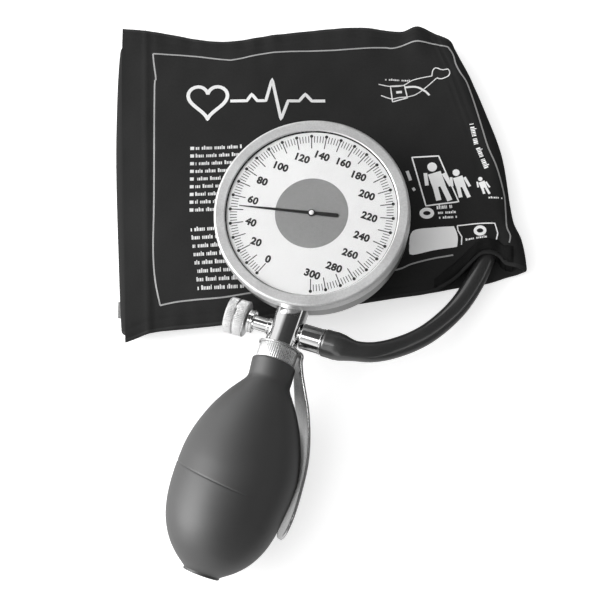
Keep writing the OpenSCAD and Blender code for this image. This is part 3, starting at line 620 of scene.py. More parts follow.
scale = Plates()
for value in range(0, TOP + 1, 2):
    angle = ZERO - SWEEP * value / TOP
    tens = value % 10 == 0
    inner, outer, half = (28.1, 33.4, 0.2) if tens else (30.6, 33.45, 0.15)
    along, across = polar(1, angle), polar(half, angle + 90)
    scale.add([along * inner - across, along * outer - across, along * outer + across,
               along * inner + across], 0, PRINT_TOP)
    if tens:
        scale.add(circle(along * 33.4, 0.68, 20), 0, PRINT_TOP + 0.005)
dress(scale.object("dial_scale"), "dial_paint", look="dial_ink")

for name, low, high, top, sides, ink in (
    ("dial_rim_line", 35.0, 35.32, PRINT_TOP, 192, "dial_ink"),
    ("dial_grey_disc", 1.3, 15, 0.02, 128, "dial_grey_ink"),
):
    corners = [(low, -0.01), (high, -0.01), (high, top), (low, top)]
    ring = lathe(name, [(*corner, 0.06) for corner in corners], DIAL, UP, SIDE, sides, steps=2)
    dress(ring, "dial_paint", look=ink)

NUMBER_HIGH, NUMBER_WIDE, DIAL_TURN = 3.3, 1.02, -2.7
# Where each number stands: distance from the middle, and angle
PLACES = [(26.1, 245.8), (25.4, 225.8), (25, 205.6), (24.8, 183.6), (24.9, 162.9), (24, 139.9),
          (24.2, 117.3), (25, 98.3), (25.1, 76.7), (24.8, 57), (23.7, 36.1), (23.65, 13),
          (23, -8.9), (23.7, -30.1), (25.1, -50.1), (26.1, -70.7)]
numbers = Plates()
for k, place in enumerate(PLACES):
    numbers.number(str(20 * k), polar(*place))
dress(numbers.object("dial_numbers"), "dial_paint", look="dial_ink")

# Pointer
POINTER_TURN, POINTER_L, TAIL_L, TAIL_R = 190.6, 29.9, 11.1, 0.85
tail = [(-TAIL_L + TAIL_R * (1 - math.cos(a)), -TAIL_R * math.sin(a))
        for a in np.linspace(-1.4, 1.4, 9)]
flank = [(POINTER_L, 0.16), (18, 0.46), (1.6, 0.66), (-2.5, 0.66), (-4.2, TAIL_R)]
blade = [(POINTER_L + 0.1, 0)] + flank + tail + [(x, -y) for x, y in flank[::-1]]
hand = Plates()
hand.add(turned(blade, POINTER_TURN), 0.36, 0.6, 0.06)
hand.add(circle((0, 0), 1.5, 48), 0.35, 0.8, 0.08)
dress(hand.object("pointer_hand"), "pointer_paint", "pointer", body="pointer_works")
cap = lathe("pointer_hub_cap", [
    (0, 0.8), (1.02, 0.8, 0.05), (1.0, 1.2, 0.22), (0.55, 1.37, 0.2), (0, 1.4),
], DIAL, UP, SIDE, 48, closed=False)
dress(cap, "cap_white", "pointer_cap", body="pointer_works")


# Valve column and its fittings
socket = lathe("socket", [
    (1, 30), (7.2, 30, 0.2), (7.2, 32.5, 0.2), (6.7, 32.5), (6.7, 41.5, 0.04),
    (4.5, 41.5), (4.5, 34), (1, 34),
], HANDLE, -STEM, SIDE)
dress(socket, "polished_chrome", "gauge_socket")

column = lathe("column", [
    (2, 34.5), (4.5, 34.5, 0.3), (4.5, 42.1), (6.15, 42.1, 0.05), (6.15, 41.52, 0.05),
    (6.7, 41.52, 0.04), (6.7, 54.2, 0.45),
    (6.2, 54.2, 0.05), (6.2, 61.6), (4.9, 61.6), (5.3, 64, 0.2), (4.9, 65, 0.2),
    (5.3, 67.4, 0.2), (4.9, 68.4, 0.2), (5.3, 70.8, 0.2), (4.7, 75, 0.2), (3.3, 75),
    (3.3, 71.5), (2, 71.5),
], HANDLE, -STEM, SIDE, 160)
bore(column, [(CROSS - 4.5 * SIDE, -SIDE, 3.5, 4), (CROSS + 4.2 * SIDE, SIDE, 3.2, 4),
              (CROSS - 5 * SIDE, SIDE, 1.3, 11)])
dress(column, "polished_chrome", "valve_column")

bushing = lathe("bushing", [
    (2.45, 4.5), (3.5, 4.5, 0.2), (3.5, 7.4, 0.2), (3, 7.5), (3, 13.4, 0.3),
    (4.8, 13.4, 0.4), (4.8, 14.5), (4.6, 14.6, 0.05), (4.6, 14.8, 0.05), (4.8, 14.9),
    (4.8, 16, 0.4), (2.45, 16),
], CROSS, -SIDE, STEM)
dress(bushing, "polished_chrome", "release_bushing")

KNOB_FLUTES, COLLAR_FLUTES = 60, 54


def knurl(flutes, depth, start, run):
    """How far a ring of fine flutes cuts into a rim, from a radius outwards."""
    return lambda turn, r: (depth * smooth((r - start) / run)
                            * (1 - np.abs(np.cos(turn * flutes / 2)) ** 0.8))


knob = lathe("knob", [
    (0, 21.5), (2.4, 21.5), (2.4, 16.5, 0.2), (6.9, 16.5, 0.04), (7.45, 17, 0.04),
    (7.45, 20.55, 0.03), (7.38, 20.62, 0.02), (6.45, 20.62, 0.05), (6.45, 21.38, 0.05),
    (7.38, 21.38, 0.02), (7.45, 21.45, 0.03), (7.45, 24.4, 0.04), (6.85, 25, 0.04), (3.2, 25, 0.4),
    (2.8, 24.8, 0.3), (0, 24.8),
], CROSS, -SIDE, STEM, KNOB_FLUTES * 8, closed=False, steps=3,
    ripple=knurl(KNOB_FLUTES, 0.14, 7.2, 0.2))
dress(knob, "knurled_nickel", "release_knob", body="release_valve")

connector = lathe("connector", [
    (1.6, 4.2), (3.2, 4.2), (3.2, 7.1), (5.2, 7.1, 0.4), (5.2, 15.4),
    (5.4, 15.6), (5.4, 16.2, 0.2), (3.4, 16.2),
    (3, 18), (3.8, 20.5), (3, 21), (3.8, 23.5), (3, 24), (3.6, 26.5),
    (2.8, 27.5, 0.2), (1.6, 27.5),
], CROSS, SIDE, STEM)
dress(connector, "polished_chrome", "hose_connector")

collar = lathe("collar", [
    (6.2, 55.1), (7.75, 55.1, 0.06), (8.1, 55.45, 0.06), (8.1, 61.25, 0.06),
    (7.75, 61.6, 0.06), (6.2, 61.6),
], HANDLE, -STEM, SIDE, COLLAR_FLUTES * 8, steps=3, ripple=knurl(COLLAR_FLUTES, 0.12, 7.85, 0.15))
dress(collar, "knurled_nickel", "clamp_collar")


# Spoon
SPOON_TURN = math.radians(25)
OUT = math.cos(SPOON_TURN) * SIDE - math.sin(SPOON_TURN) * UP
WIDE = np.cross(OUT, STEM)
SPOON_T, BEAD_R, BEAD_GAP = 0.9, 0.6, 0.2
SPOON_LINE = [(-56.5, 8.9), (-58, 9.05), (-61, 10.2), (-65, 12), (-70, 14.6), (-76, 17.9),
              (-84, 21.5), (-92, 24.1), (-100, 25.7), (-110, 26.6), (-118, 26.9), (-124, 26.6),
              (-128, 26.1)]


def spoon_half_width(y):
    tip = np.sqrt(np.clip(1 - ((-121 - y) / 7) ** 2, 0, 1)) * 7.56
    body = np.interp(-y, [50, 57, 62, 70, 78, 89, 100, 110, 118, 121],
                     [4.6, 4.8, 5.2, 6.9, 8.2, 8.85, 9, 8.85, 8.2, 7.56])
    return np.where(y < -121, np.maximum(tip, 0.4), body)


def spoon_mesh():
    # The sheet rises from the ring, bends round the collar's edge and follows the bulb
    bend = [(-56.5 + 1.4 * math.cos(a), 7.5 + 1.4 * math.sin(a)) for a in np.linspace(0, 1.5, 12)]
    line = np.array([(-55.1, 6.7), (-55.1, 7.1)] + bend + curve_through(SPOON_LINE, 120).tolist())
    tangent = directions(line)
    width = spoon_half_width(line[:, 0])
    edge, sections = SPOON_T / 2, []
    half_turn = np.linspace(0, math.pi, 11)[1:-1]
    round_out, round_up = BEAD_GAP + BEAD_R * np.sin(half_turn), -BEAD_R * np.cos(half_turn)
    for k, (y, d) in enumerate(line):
        # One cross-section: out along the hollow inner face, round the beaded rim, back along the
        # outer face and round the other rim
        flat = (width[k] - BEAD_R - BEAD_GAP) * np.linspace(-1, 1, 25)
        bow = -1.3 * smooth((-58 - y) / 30) * (flat / 9) ** 2
        across = np.r_[flat, flat[-1] + round_out, flat[::-1], flat[0] - round_out]
        sheet = edge + np.r_[bow - edge, bow[-1] + round_up, bow[::-1] + edge, bow[0] - round_up]
        sections.append(HANDLE + np.outer(y + tangent[k, 1] * sheet, STEM)
                        + np.outer(d - tangent[k, 0] * sheet, OUT) + np.outer(across, WIDE))
    return capped("spoon_blade", sections, sharp=40)


dress(spoon_mesh(), "polished_chrome", "spoon", body="spoon_handle", look="spoon_chrome")
spoon_ring = lathe("spoon_ring", [(6.3, 54.25, 0.12), (8.9, 54.25, 0.3), (8.9, 55.05, 0.3),
                                  (6.3, 55.05, 0.12)], HANDLE, -STEM, SIDE)
dress(spoon_ring, "polished_chrome", body="spoon_handle", look="spoon_chrome")


# Bulb
NECK_R, WALL, SAG, BULB_END, SEAM, BULB_SIDES = 9.2, 2.2, 1.1, 152.8, 114.4, 160
SLANT_X, SLANT_Z = 0.067, 0.261
BULB_LINE = [(70, 8.6), (72, 10.1), (74, 11.5), (76, 13), (80, 15.6), (86, 18.8), (93, 21.5),
             (99, 23.2), (105, 24.2), (110, 24.4), (116, 24.3), (123, 23.75), (129, 22.9),
             (135, 21.25), (140, 18.95), (144, 16.3), (148, 12.5), (151, 8.6)]


def through(outline, x):
    """Smooth curve through an outline, read at a distance along it."""
    p = np.array(outline, float)
    n = len(p) - 1
    i = np.clip(np.searchsorted(p[:, 0], x, side="right") - 1, 0, n - 1)
    a, b = p[np.maximum(i - 1, 0)], p[i]
    c, d = p[i + 1], p[np.minimum(i + 2, n)]
    w = c[..., 0] - b[..., 0]
    f = np.clip((x - b[..., 0]) / w, 0, 1)
    m0 = (c[..., 1] - a[..., 1]) / (c[..., 0] - a[..., 0]) * w
    m1 = (d[..., 1] - b[..., 1]) / (d[..., 0] - b[..., 0]) * w
    return (b[..., 1] * (1 + 2 * f) * (1 - f) ** 2 + m0 * f * (1 - f) ** 2
            + c[..., 1] * f * f * (3 - 2 * f) - m1 * f * f * (1 - f))


def bulb_radius(d):
    """Outer radius at a distance along the stem."""
    return max(mix(NECK_R, NECK_R - 0.2, (d - 62) / 8), float(through(BULB_LINE, d)))


def bulb_mesh():
    stations = np.unique(np.r_[63:66:1.0, 66:84:0.25, 84:151.1:1.0, SEAM - 4.5:SEAM + 4.5:0.125])
    outer = []
    for d in stations:
        # The rubber runs softly from the neck into the body
        reach = 1.3 * smooth((d - 66) / 4) * smooth((86 - d) / 6)
        outer.append((np.mean([bulb_radius(d + k * reach) for k in np.linspace(-1, 1, 9)]), d, 0))
    inner = [(bulb_radius(d) - WALL, d, 0) for d in np.arange(146, 80, -2.5)]
    outline = (
        [(4.9, 61.8), (NECK_R, 61.7, 0.8)] + outer
        + [(7.6, 151.75, 0.3), (7.6, BULB_END, 0.35), (4.5, BULB_END, 0.3), (4.5, 148.4, 0.3)]
        + inner + [(5.3, 75.6, 0.3), (5.3, 63.9, 0.3)]
    )
    turn = np.arange(BULB_SIDES) * TURN / BULB_SIDES
    sections = []
    for r, d in rounded(outline, True, 5)[0]:
        share = 0.0 if r < 5.6 and d < 77 else 1.0
        bend = 0.5 * float(smooth((d - 61) / 8) * smooth((125 - d) / 20))
        sag, slant = SAG * float(smooth((d - 64) / 40)), float(smooth((d - 66) / 34))
        x, z = r * np.cos(turn), r * np.sin(turn)
        if r > 20 and abs(d - SEAM) < 5:
            # The mould's seam runs a little askew
            fade = 0.2 * np.clip((16 - x) / 12, 0, 1)
            dent = 1 - fade * hump(d - SEAM - 0.07 * x, 0.32) / r
            x, z = x * dent, z * dent
        y = -d - slant * (SLANT_X * x + SLANT_Z * z)
        sections.append(HANDLE + np.outer(x + share * bend, SIDE) + np.outer(y, STEM)
                        + np.outer(z - share * sag, UP))
    rings = np.arange(len(sections) * BULB_SIDES).reshape(-1, BULB_SIDES)
    return solid("bulb_rubber", np.concatenate(sections), quads_of(rings, True), sharp=62)


dress(bulb_mesh(), "bulb_rubber", "bulb")

end_plug = lathe("bulb_end_plug", [
    (1.5, 150.6, 0.3), (4.5, 150.6, 0.4), (4.5, 141, 0.2), (3.2, 141), (3.2, 147.2, 0.2),
    (1.5, 148.2, 0.2),
], HANDLE - SAG * UP, -STEM, SIDE)
dress(end_plug, "screw_steel", "inlet_valve_body")


# Cuff
CUFF_X, CUFF_Y, CUFF_DEPTH, CLOTH_T = 0.6, 0.8, 125, 0.6
TOP_HALF, BOTTOM_HALF, MIDDLE_HALF, EDGE_HALF = 2.6, 1.7, 2.1, 0.8
ARCH_RISE, GAUGE_CROWN, MIDDLE_END = 5, 1, 45
TOP_Z, MIDDLE_Z, FOLD_IN = 11.9, 6.1, 2.3
# Places across the cuff, each at the front and at the back
LEFT_FOLD, FREE_END, SEAM_X = (-81.6, -84.4), (-80.3, -84), (-70.4, -73.3)
PRESSED_AT, PRESSED_R = (-5, 26), 38
TOP_FRONT = [(-90, -19.5), (-80.5, -17.2), (-70.3, -13.4), (-60, -11.9), (-40, -9.9), (15, -0.5),
             (34, 2.3), (47, 4.6), (56, 9.8), (62, 14.9), (66.6, 19), (70.7, 19.8), (74.5, 18.6),
             (77, 15.8), (90, 13.5)]
TOP_BACK = [(-90, 122.1), (-68, 118.4), (-42, 114.2), (-17, 117.7), (17, 120.7), (35, 118.7),
            (42, 121), (50, 117.6), (57, 114.6), (64, 110.5)]
BOTTOM_FRONT = [(-90, -12), (-40, -7), (15, 1.9), (32, 4.7), (48, 7.2), (57, 9), (70, 11),
                (80, 14.2), (90, 16)]
BOTTOM_BACK = [(-90, 112.5), (-30, 112), (40, 115.5), (62, 109)]
RIGHT_FOLD = [(0, 87.9), (0.12, 85), (0.2, 81.5), (0.48, 77.6), (0.7, 70.9), (0.87, 65.3),
              (0.95, 61.4), (1, 59.4)]
STOPS = [0, 0.4, 0.46, 0.82, 0.86, 1]


def fullness(v):
    return 1 - np.abs(2 * v - 1) ** 5


def half_at(s, v):
    top = mix(1.2, TOP_HALF, smooth(s / 0.1))
    full = mix(mix(top, BOTTOM_HALF, smooth((s - 0.38) / 0.08)), MIDDLE_HALF,
               smooth((s - 0.84) / 0.06))
    share = fullness(v) * smooth((1.002 - s) / 0.06) * smooth((s + 0.03) / 0.06)
    return mix(EDGE_HALF, full, share)


def lie_top(x, v):
    return (TOP_Z - 2.6 * (1 - fullness(v)) - 1.2 * bell(x, -84, 14)
            + 0.7 * bell(x, -10, 70) * fullness(v)
            + GAUGE_CROWN * bell(x, -36, 60) * bell(v, 0.33, 0.6)
            + (ARCH_RISE + 1.2 * (1 - v)) * bell(x, 71, 17) * smooth(1 - v / 0.34)
            + 0.8 * bell(x, 42, 12) * smooth((v - 0.8) / 0.2))


def fold_point(s, v):
    """Middle line of the folded ribbon in the plane across the folds."""
    s, v = np.broadcast_arrays(s, v)
    k = np.clip(np.searchsorted(STOPS[1:-1], s, side="right"), 0, 4)
    low, high = np.array(STOPS)[k], np.array(STOPS)[k + 1]
    u = np.clip((s - low) / (high - low), 0, 1)
    xr, xl = through(RIGHT_FOLD, v) - FOLD_IN, mix(*LEFT_FOLD, smooth(v / 0.7))
    free_x = mix(*FREE_END, smooth(v))
    zt, zb = lie_top(xr - 5, v), half_at(0.6, v)
    zm = MIDDLE_Z - 1.6 * (1 - fullness(v))
    rr, rl = (zt - zb) / 2, (zm - zb) / 2
    x0 = mix(free_x, xr - rr, u)
    xs = [x0, xr - rr + rr * np.sin(math.pi * u), mix(xr - rr, xl + rl, u),
          xl + rl - rl * np.sin(math.pi * u), mix(xl + rl, MIDDLE_END, u)]
    zs = [mix(lie_top(x0, v), zt, smooth((u - 0.9) / 0.1)),
          (zt + zb) / 2 + rr * np.cos(math.pi * u), zb + 0 * u,
          (zb + zm) / 2 - rl * np.cos(math.pi * u), zm + 0 * u]
    return np.choose(k, xs), np.choose(k, zs)


def ribbon(s, v, lift):
    """Points of the ribbon at shares s along and v across, lifted off its middle line."""
    x, z = fold_point(s, v)
    xa, za = fold_point(np.maximum(0, s - 0.002), v)
    xb, zb = fold_point(np.minimum(1, s + 0.002), v)
    tx, tz = xb - xa, zb - za
    length = np.maximum(np.hypot(tx, tz), 1e-9)
    w = smooth((z - 2) / 7)
    front = mix(through(BOTTOM_FRONT, x), through(TOP_FRONT, x), w)
    back = mix(through(BOTTOM_BACK, x), through(TOP_BACK, x), w)
    y = mix(front, back, v)
    return np.stack([x - lift * tz / length + CUFF_X, y + CUFF_Y + 0 * lift,
                     np.maximum(0, z + lift * tx / length)], axis=-1)


COUNTS = [150, 26, 110, 18, 90]
ALONG = np.concatenate([np.linspace(STOPS[k], STOPS[k + 1], n, endpoint=False)
                        for k, n in enumerate(COUNTS)] + [[1.0]])
ACROSS = 0.5 - 0.5 * np.cos(np.linspace(0, math.pi, 101))


def relief(s, v):
    """Small folds, puckers and seams of the outer cloth, in mm along its normal."""
    p = ribbon(s, v, 0.0)
    x, y = p[..., 0], p[..., 1]
    on_top = smooth((0.405 - s) / 0.02)
    waves = sum(high * np.sin(a * x + b * y + c) for high, a, b, c in (
        (0.16, 0.115, 0.043, 0.6), (0.13, 0.051, -0.12, 2.1), (0.09, 0.21, 0.17, 4),
        (0.05, 0.37, -0.29, 1.3)))
    # Under the gauge the cloth is pressed flat
    off_gauge = smooth((np.hypot(x - PRESSED_AT[0], y - PRESSED_AT[1]) - PRESSED_R) / 14)
    seam_x = mix(*SEAM_X, (y + 0.4) / 119.7)
    seam = 0.34 * hump(x - seam_x, 0.9) * (1 + 0.25 * np.sin(1.9 * y))
    seam -= 0.22 * hump(x - seam_x - 2.6, 1.1)
    edge_far = np.minimum(v, 1 - v) * CUFF_DEPTH
    channel = -0.24 * hump(edge_far - 3.4, 0.8) * (1 + 0.3 * np.sin(2.4 * x))
    gather = np.exp(-edge_far / 7) * np.sin(0.85 * x + 1.2 * np.sin(0.09 * x)) * bell(x, -32, 34)
    gather = 0.2 * gather + 0.14 * np.exp(-edge_far / 9) * np.sin(0.62 * x + 0.5)
    right_far = through(RIGHT_FOLD, v) - x
    pleats = 0.3 * np.sin(2.0 * right_far + 0.8 * np.sin(0.1 * y)) * hump(right_far - 7, 4.5)
    pleats *= smooth((v - 0.25) / 0.2)
    crease = -0.2 * hump(y - 10 - 0.01 * x, 0.8) * bell(x, -50, 22)
    return on_top * (off_gauge * (waves + gather + crease) + seam + channel + pleats)


def ribbon_sheet(name, s, v, low, high, bumps=0.0):
    """A closed sheet of the ribbon with its own cloth coordinates, and its mean length and width.

    low and high are its two faces: a side of the ribbon, and how far above that side.
    """
    s, v = s[:, None], v[None, :]
    lower, upper = (ribbon(s, v, side * half_at(s, v) + above + bumps)
                    for side, above in (low, high))
    rows, columns = lower.shape[:2]
    index = np.arange(rows * columns).reshape(rows, columns)
    middle = (lower + upper) / 2
    along, across = (np.cumsum(np.linalg.norm(np.diff(middle, axis=k), axis=2), axis=k)
                     for k in (0, 1))
    along, across = np.pad(along, ((1, 0), (0, 0))), np.pad(across, ((0, 0), (1, 0)))
    uv = np.stack([along, across], -1).reshape(-1, 2) * MM
    points = np.concatenate([lower.reshape(-1, 3), upper.reshape(-1, 3)])
    obj = solid(name, points, sheet_quads(index, index + rows * columns), sharp=60,
                uv=np.concatenate([uv, uv]))
    return obj, along[-1].mean(), across[:, -1].mean()


def within(values, low, high):
    return values[(values > low) & (values < high)]


outer, outer_l, outer_w = ribbon_sheet("cuff_face_cloth", ALONG, ACROSS, (1, -CLOTH_T), (1, 0),
                                       relief(ALONG[:, None], ACROSS[None, :]))
dress(outer, "nylon_face", "cuff_outer_cloth")
inner, inner_l, inner_w = ribbon_sheet("cuff_lining_cloth", ALONG, ACROSS, (-1, 0), (-1, CLOTH_T))
dress(inner, "nylon_lining", "cuff_inner_cloth")
MIDDLE = within(ACROSS, 0.08, 0.92)
bladder = ribbon_sheet("cuff_air_bladder", within(ALONG, 0.12, 0.401), MIDDLE,
                       (-1, CLOTH_T + 0.1), (1, -CLOTH_T - 0.1))[0]
dress(bladder, "bladder_rubber", "cuff_bladder")
hook = ribbon_sheet("cuff_hook_tape", within(ALONG, 0.01, 0.08), MIDDLE, (-1, -0.7), (-1, 0))[0]
dress(hook, "hook_tape", "hook_patch")
loop = ribbon_sheet("cuff_loop_tape", within(ALONG, 0.87, 0.98), MIDDLE, (1, 0), (1, 0.6))[0]
dress(loop, "loop_tape", "loop_patch")

BINDING_LIP, STITCH_ALONG, STITCH_ROUND = 1.4, 1.25, 0.4


def binding(name, v, outwards, node_name):
    """Tape folded over an edge: a rounded lip that closes the two cloths."""
    half = half_at(ALONG, v)
    high = relief(ALONG[:, None], np.array([[v]])).ravel()
    sections = []
    for a in np.linspace(-math.pi / 2, math.pi / 2, 11):
        p = ribbon(ALONG, np.full_like(ALONG, v), np.sin(a) * half + high * (np.sin(a) + 1) / 2)
        p[:, 1] += BINDING_LIP * outwards * np.cos(a)
        sections.append(p)
    sections = np.stack(sections, axis=1)
    rows, count = sections.shape[:2]
    uv = [(k * STITCH_ALONG * MM, j * STITCH_ROUND * MM) for k in range(rows) for j in range(count)]
    obj = capped(name, sections, sharp=70, uv=uv + [(0, 0), (0, 0)])
    return dress(obj, "binding_tape", node_name)


front_binding = binding("cuff_front_binding", 0.0, -1, "cuff_binding_front")
back_binding = binding("cuff_back_binding", 1.0, 1, "cuff_binding_back")


LABEL_Z, LABEL_R = 2.65, 0.3


def label_loop():
    """A small bare loop of tape, folded over and sewn into the left fold."""
    fold, sewn = CUFF_X - 83.7, CUFF_X - 81
    t = np.linspace(0, 1, 25)
    sections = []
    for y in np.linspace(CUFF_Y - 6, CUFF_Y + 1, 15):
        wave = 0.12 * math.sin(0.9 * y)
        section = [(mix(sewn, fold, k), LABEL_Z + LABEL_R + wave * k) for k in t]
        section += [(fold - LABEL_R * math.sin(a), LABEL_Z + LABEL_R * math.cos(a) + wave)
                    for a in np.linspace(0, math.pi, 7)[1:-1]]
        section += [(mix(fold, sewn, k), LABEL_Z - LABEL_R + wave * (1 - k)) for k in t]
        sections.append([(x, y, z) for x, z in section])
    return capped("cuff_side_label", sections, sharp=50)


dress(label_loop(), "label_tape", "side_label")


# Print on the cuff
cuff_tree = BVHTree.FromPolygons([v.co / MM for v in outer.data.vertices],
                                 [tuple(p.vertices) for p in outer.data.polygons])
ABOVE, CUFF_TOP = 60, 12.0


def drop(x, y):
    """Height of the cuff's top at a place."""
    place = cuff_tree.ray_cast(Vector((x, y, ABOVE)), Vector((0, 0, -1)))[0]
    return place.z if place else CUFF_TOP


class Print:
    """Thin closed print that follows the cloth, gathered into one mesh."""

    LIFT, DEPTH, STEP, PANEL_STEP = 0.06, 0.12, 0.9, 1.2

    def __init__(self):
        self.points, self.quads = [], []

    def grid(self, flat, rise=0.0):
        """flat is a grid of (x, y) places; rise lifts its upper face."""
        flat = np.asarray(flat, float)
        rows, columns = flat.shape[:2]
        z = np.array([[drop(*p) for p in row] for row in flat])
        base = len(self.points)
        for lift in (-self.DEPTH, self.LIFT + rise):
            self.points.extend(np.dstack([flat, z + lift]).reshape(-1, 3))
        low = base + np.arange(rows * columns).reshape(rows, columns)
        quads = sheet_quads(low, low + rows * columns)
        # Every patch faces out, whichever way round its grid runs
        du, dv = flat[1:, :-1] - flat[:-1, :-1], flat[:-1, 1:] - flat[:-1, :-1]
        area = (du[..., 0] * dv[..., 1] - du[..., 1] * dv[..., 0]).sum()
        self.quads.append(quads[:, ::-1] if area > 0 else quads)

    def stroke(self, places, width, closed=False):
        p = np.asarray(places, float)
        if closed:
            p = np.vstack([p, p[:1]])
        fine = [p[0]]
        for a, b in zip(p[:-1], p[1:]):
            count = max(1, math.ceil(np.linalg.norm(b - a) / self.STEP))
            fine.extend(mix(a, b, k / count) for k in range(1, count + 1))
        fine = np.array(fine)
        step = np.gradient(fine, axis=0)
        if closed:
            step[0] = step[-1] = fine[1] - fine[-2]
        step /= np.maximum(np.linalg.norm(step, axis=1), 1e-9)[:, None]
        normal = np.stack([-step[:, 1], step[:, 0]], axis=1)
        rows = [fine + normal * width * k for k in (-0.5, 0, 0.5)]
        self.grid(np.stack(rows, axis=1))

    def curve(self, places, width):
        """A stroke along a smooth curve through the places, with a point about every mm."""
        count = int(lengths(np.asarray(places, float))[-1])
        self.stroke(curve_through(places, max(8, count)), width)

    def disc(self, centre, r):
        radii = np.linspace(0.05, r, max(2, math.ceil(r / 0.8) + 1))
        self.grid([[centre + polar(q, 15 * k) for q in radii] for k in range(25)])

    def panel(self, corners):
        """A four-sided patch; corners run round it."""
        a, b, c, d = np.asarray(corners, float)
        m, n = (max(2, math.ceil(np.linalg.norm(q - a) / self.PANEL_STEP)) for q in (b, d))
        self.grid([[mix(mix(a, b, i / m), mix(d, c, i / m), j / n) for j in range(n + 1)]
                   for i in range(m + 1)])

    def figure(self, x, y, h, lean, wide):
        """A plain standing figure, h tall, with its feet at (x, y)."""
        k = h / 16

        def at(across, up):
            return (x + across * k * wide - lean * up / 16, y + up * k)

        self.disc(at(0, 14), 1.9 * k)
        self.stroke([at(0, 11.6), at(0, 5.8)], 4.6 * k * wide)
        for way in (-1, 1):
            self.stroke([at(way * 3.1, 11.4), at(way * 4.1, 6.2)], 1.5 * k)
            self.stroke([at(way * 1.3, 6.6), at(way * 1.9, 0)], 2.1 * k)

    def marks(self, start, stop, high, beat):
        """A row of small upright marks in place of lettering; beat starts their rhythm."""
        start, stop = np.array(start, float), np.array(stop, float)
        length = np.linalg.norm(stop - start)
        way = (stop - start) / length
        up = np.array([-way[1], way[0]])
        place = 0.0
        while place < length:
            beat += 1
            if beat % 7 == 3:
                place += 0.8
                continue
            wide = (0.34, 0.52, 0.7)[beat * 5 % 3]
            tall = high * (1 if beat * 3 % 5 == 0 else 0.72)
            foot, toe = start + way * place, start + way * (place + wide)
            self.panel([foot, toe, toe + up * tall, foot + up * tall])
            place += wide + 0.24

    def object(self, name, look):
        obj = solid(name, self.points, np.concatenate(self.quads), sharp=40)
        return dress(obj, "nylon_face", look=look)


lines = Print()
FRAME_LEFT = [(-70.1, 109.8), (-69.5, 104.4), (-68.6, 97.4), (-69.1, 92.7), (-68.6, 43.1),
              (-68.6, 21.1), (-67.6, 8), (-65.4, -2.6)]
FRAME_BOTTOM = [(-65.4, -2.6), (-57.2, -1.1), (-40.7, 0.3), (-29.1, 2.2), (0, 7.3), (13.1, 9.5),
                (31.8, 12.5), (38.7, 15.1), (47, 17.3), (52.6, 18.4), (56, 19.1)]
FRAME_RIGHT = [(79.2, 23.7), (79.7, 26.8), (78.3, 30.5), (78.1, 37.8), (77.7, 46), (74.9, 57.5),
               (71.3, 66.6), (68.5, 77), (65.7, 87.5), (62.9, 96.3), (60.3, 100.6), (58.5, 104.6),
               (57.4, 109.6), (55.3, 113.3)]
FRAME_TOP = [(55.3, 113.3), (46, 114.9), (41.1, 115.2), (35.2, 113), (31.3, 112), (26.4, 112.2),
             (5.1, 110.8), (-19.5, 110), (-35.2, 106.7), (-39.4, 106.7), (-54.3, 108.7),
             (-70.1, 109.8)]
for side_line in (FRAME_LEFT, FRAME_BOTTOM, FRAME_RIGHT, FRAME_TOP):
    lines.curve(side_line, 0.62)
lines.object("cuff_frame_line", "cuff_line")

# The front edge is turned over into a thick hem round the hose's way in
hem = Print()
x, over = np.linspace(48, 81, 67)[:, None], np.linspace(0, 1, 13)
edge_y = np.interp(x, *zip(*TOP_FRONT))
hem_width = 5.4 + 1.6 * smooth((x - 70) / 10) - 1.6 * smooth((56 - x) / 8)
swell = 1.25 * smooth((x - 48) / 8) * smooth((81 - x) / 1.2) * (1 + 0.22 * np.sin(x * 0.9))
hem.grid(np.dstack([x + 0 * over, edge_y + 0.25 + hem_width * over]),
         swell * (1 - np.abs(2 * over - 1) ** 3))
# Its cloth is darker than the face cloth: painted shade of the roll
hem.object("cuff_hem_roll", "cuff_hem")

# The tag is white, and its ink is made whiter still: painted light over the gauge's shade
tag = Print()
TAG_LOW = [(37.9, 22), (38.5, 18.9), (48, 20.9), (57.6, 22.4)]
TAG_HIGH = [(37.7, 23.5), (39.4, 29.2), (48, 30.6), (56.4, 31.2)]
low, high = (curve_through(side_line, 17) for side_line in (TAG_LOW, TAG_HIGH))
tag.grid([[mix(low[i], high[i], j / 9)
           + (0.9 * max(0, i - 12) / 4 * math.sin(math.pi * j / 9), 0) for j in range(10)]
          for i in range(17)])
tag.object("cuff_tag_print", "cuff_tag")

signs = Print()
# Range box with its small ring, next to the tag
signs.stroke([(57.8, 31.4), (73.3, 31.9), (74.5, 27.7), (73.8, 24.6)], 0.5)
signs.stroke([(57.8, 31.4), (58.1, 29.2), (59.6, 26.5), (59.4, 23.1)], 0.5)
for centre, wide, high, width in (((67.1, 28.6), 2, 1.6, 1.3), ((45.2, 36.9), 2.3, 1.7, 1.5)):
    signs.stroke([centre + polar(1, 15 * k) * (wide, high) for k in range(24)], width, closed=True)
# Frame round the tallest of three figures, and their rows of marks
signs.stroke([(39.3, 61.7), (50.5, 62.4), (58.6, 42.1), (44.9, 40.1)], 0.6, closed=True)
for row in ((52.6, 42.6, 17, 5.6, 1.15), (61.2, 44, 12.6, 4, 1.15), (70.4, 45.4, 7.8, 3, 1.2)):
    signs.figure(*row)
for row in (((49.4, 38.6), (56, 39.3), 1.9, 3), ((49.9, 36.5), (57, 37), 1.3, 6),
            ((50.3, 34.4), (57.4, 34.9), 1.2, 1), ((70.2, 43.2), (76.6, 43.4), 1.0, 2),
            ((61.2, 24.6), (70, 25.6), 1.0, 4), ((69.6, 56.8), (66, 66.4), -2.5, 3),
            ((65.5, 67.6), (63.6, 76.8), -2.5, 5)):
    signs.marks(*row)
# The signs take the tag's whiter ink, a lit copy of the print's ink: painted light over the gauge's shade
signs.object("cuff_print_signs", "cuff_tag")

art = Print()
# A hand and a foot of one more figure, beside the gauge
art.stroke([(37.2, 55.6), (38.6, 51.4)], 1.3)
art.stroke([(39.5, 48.1), (40.3, 46.9)], 1.2)
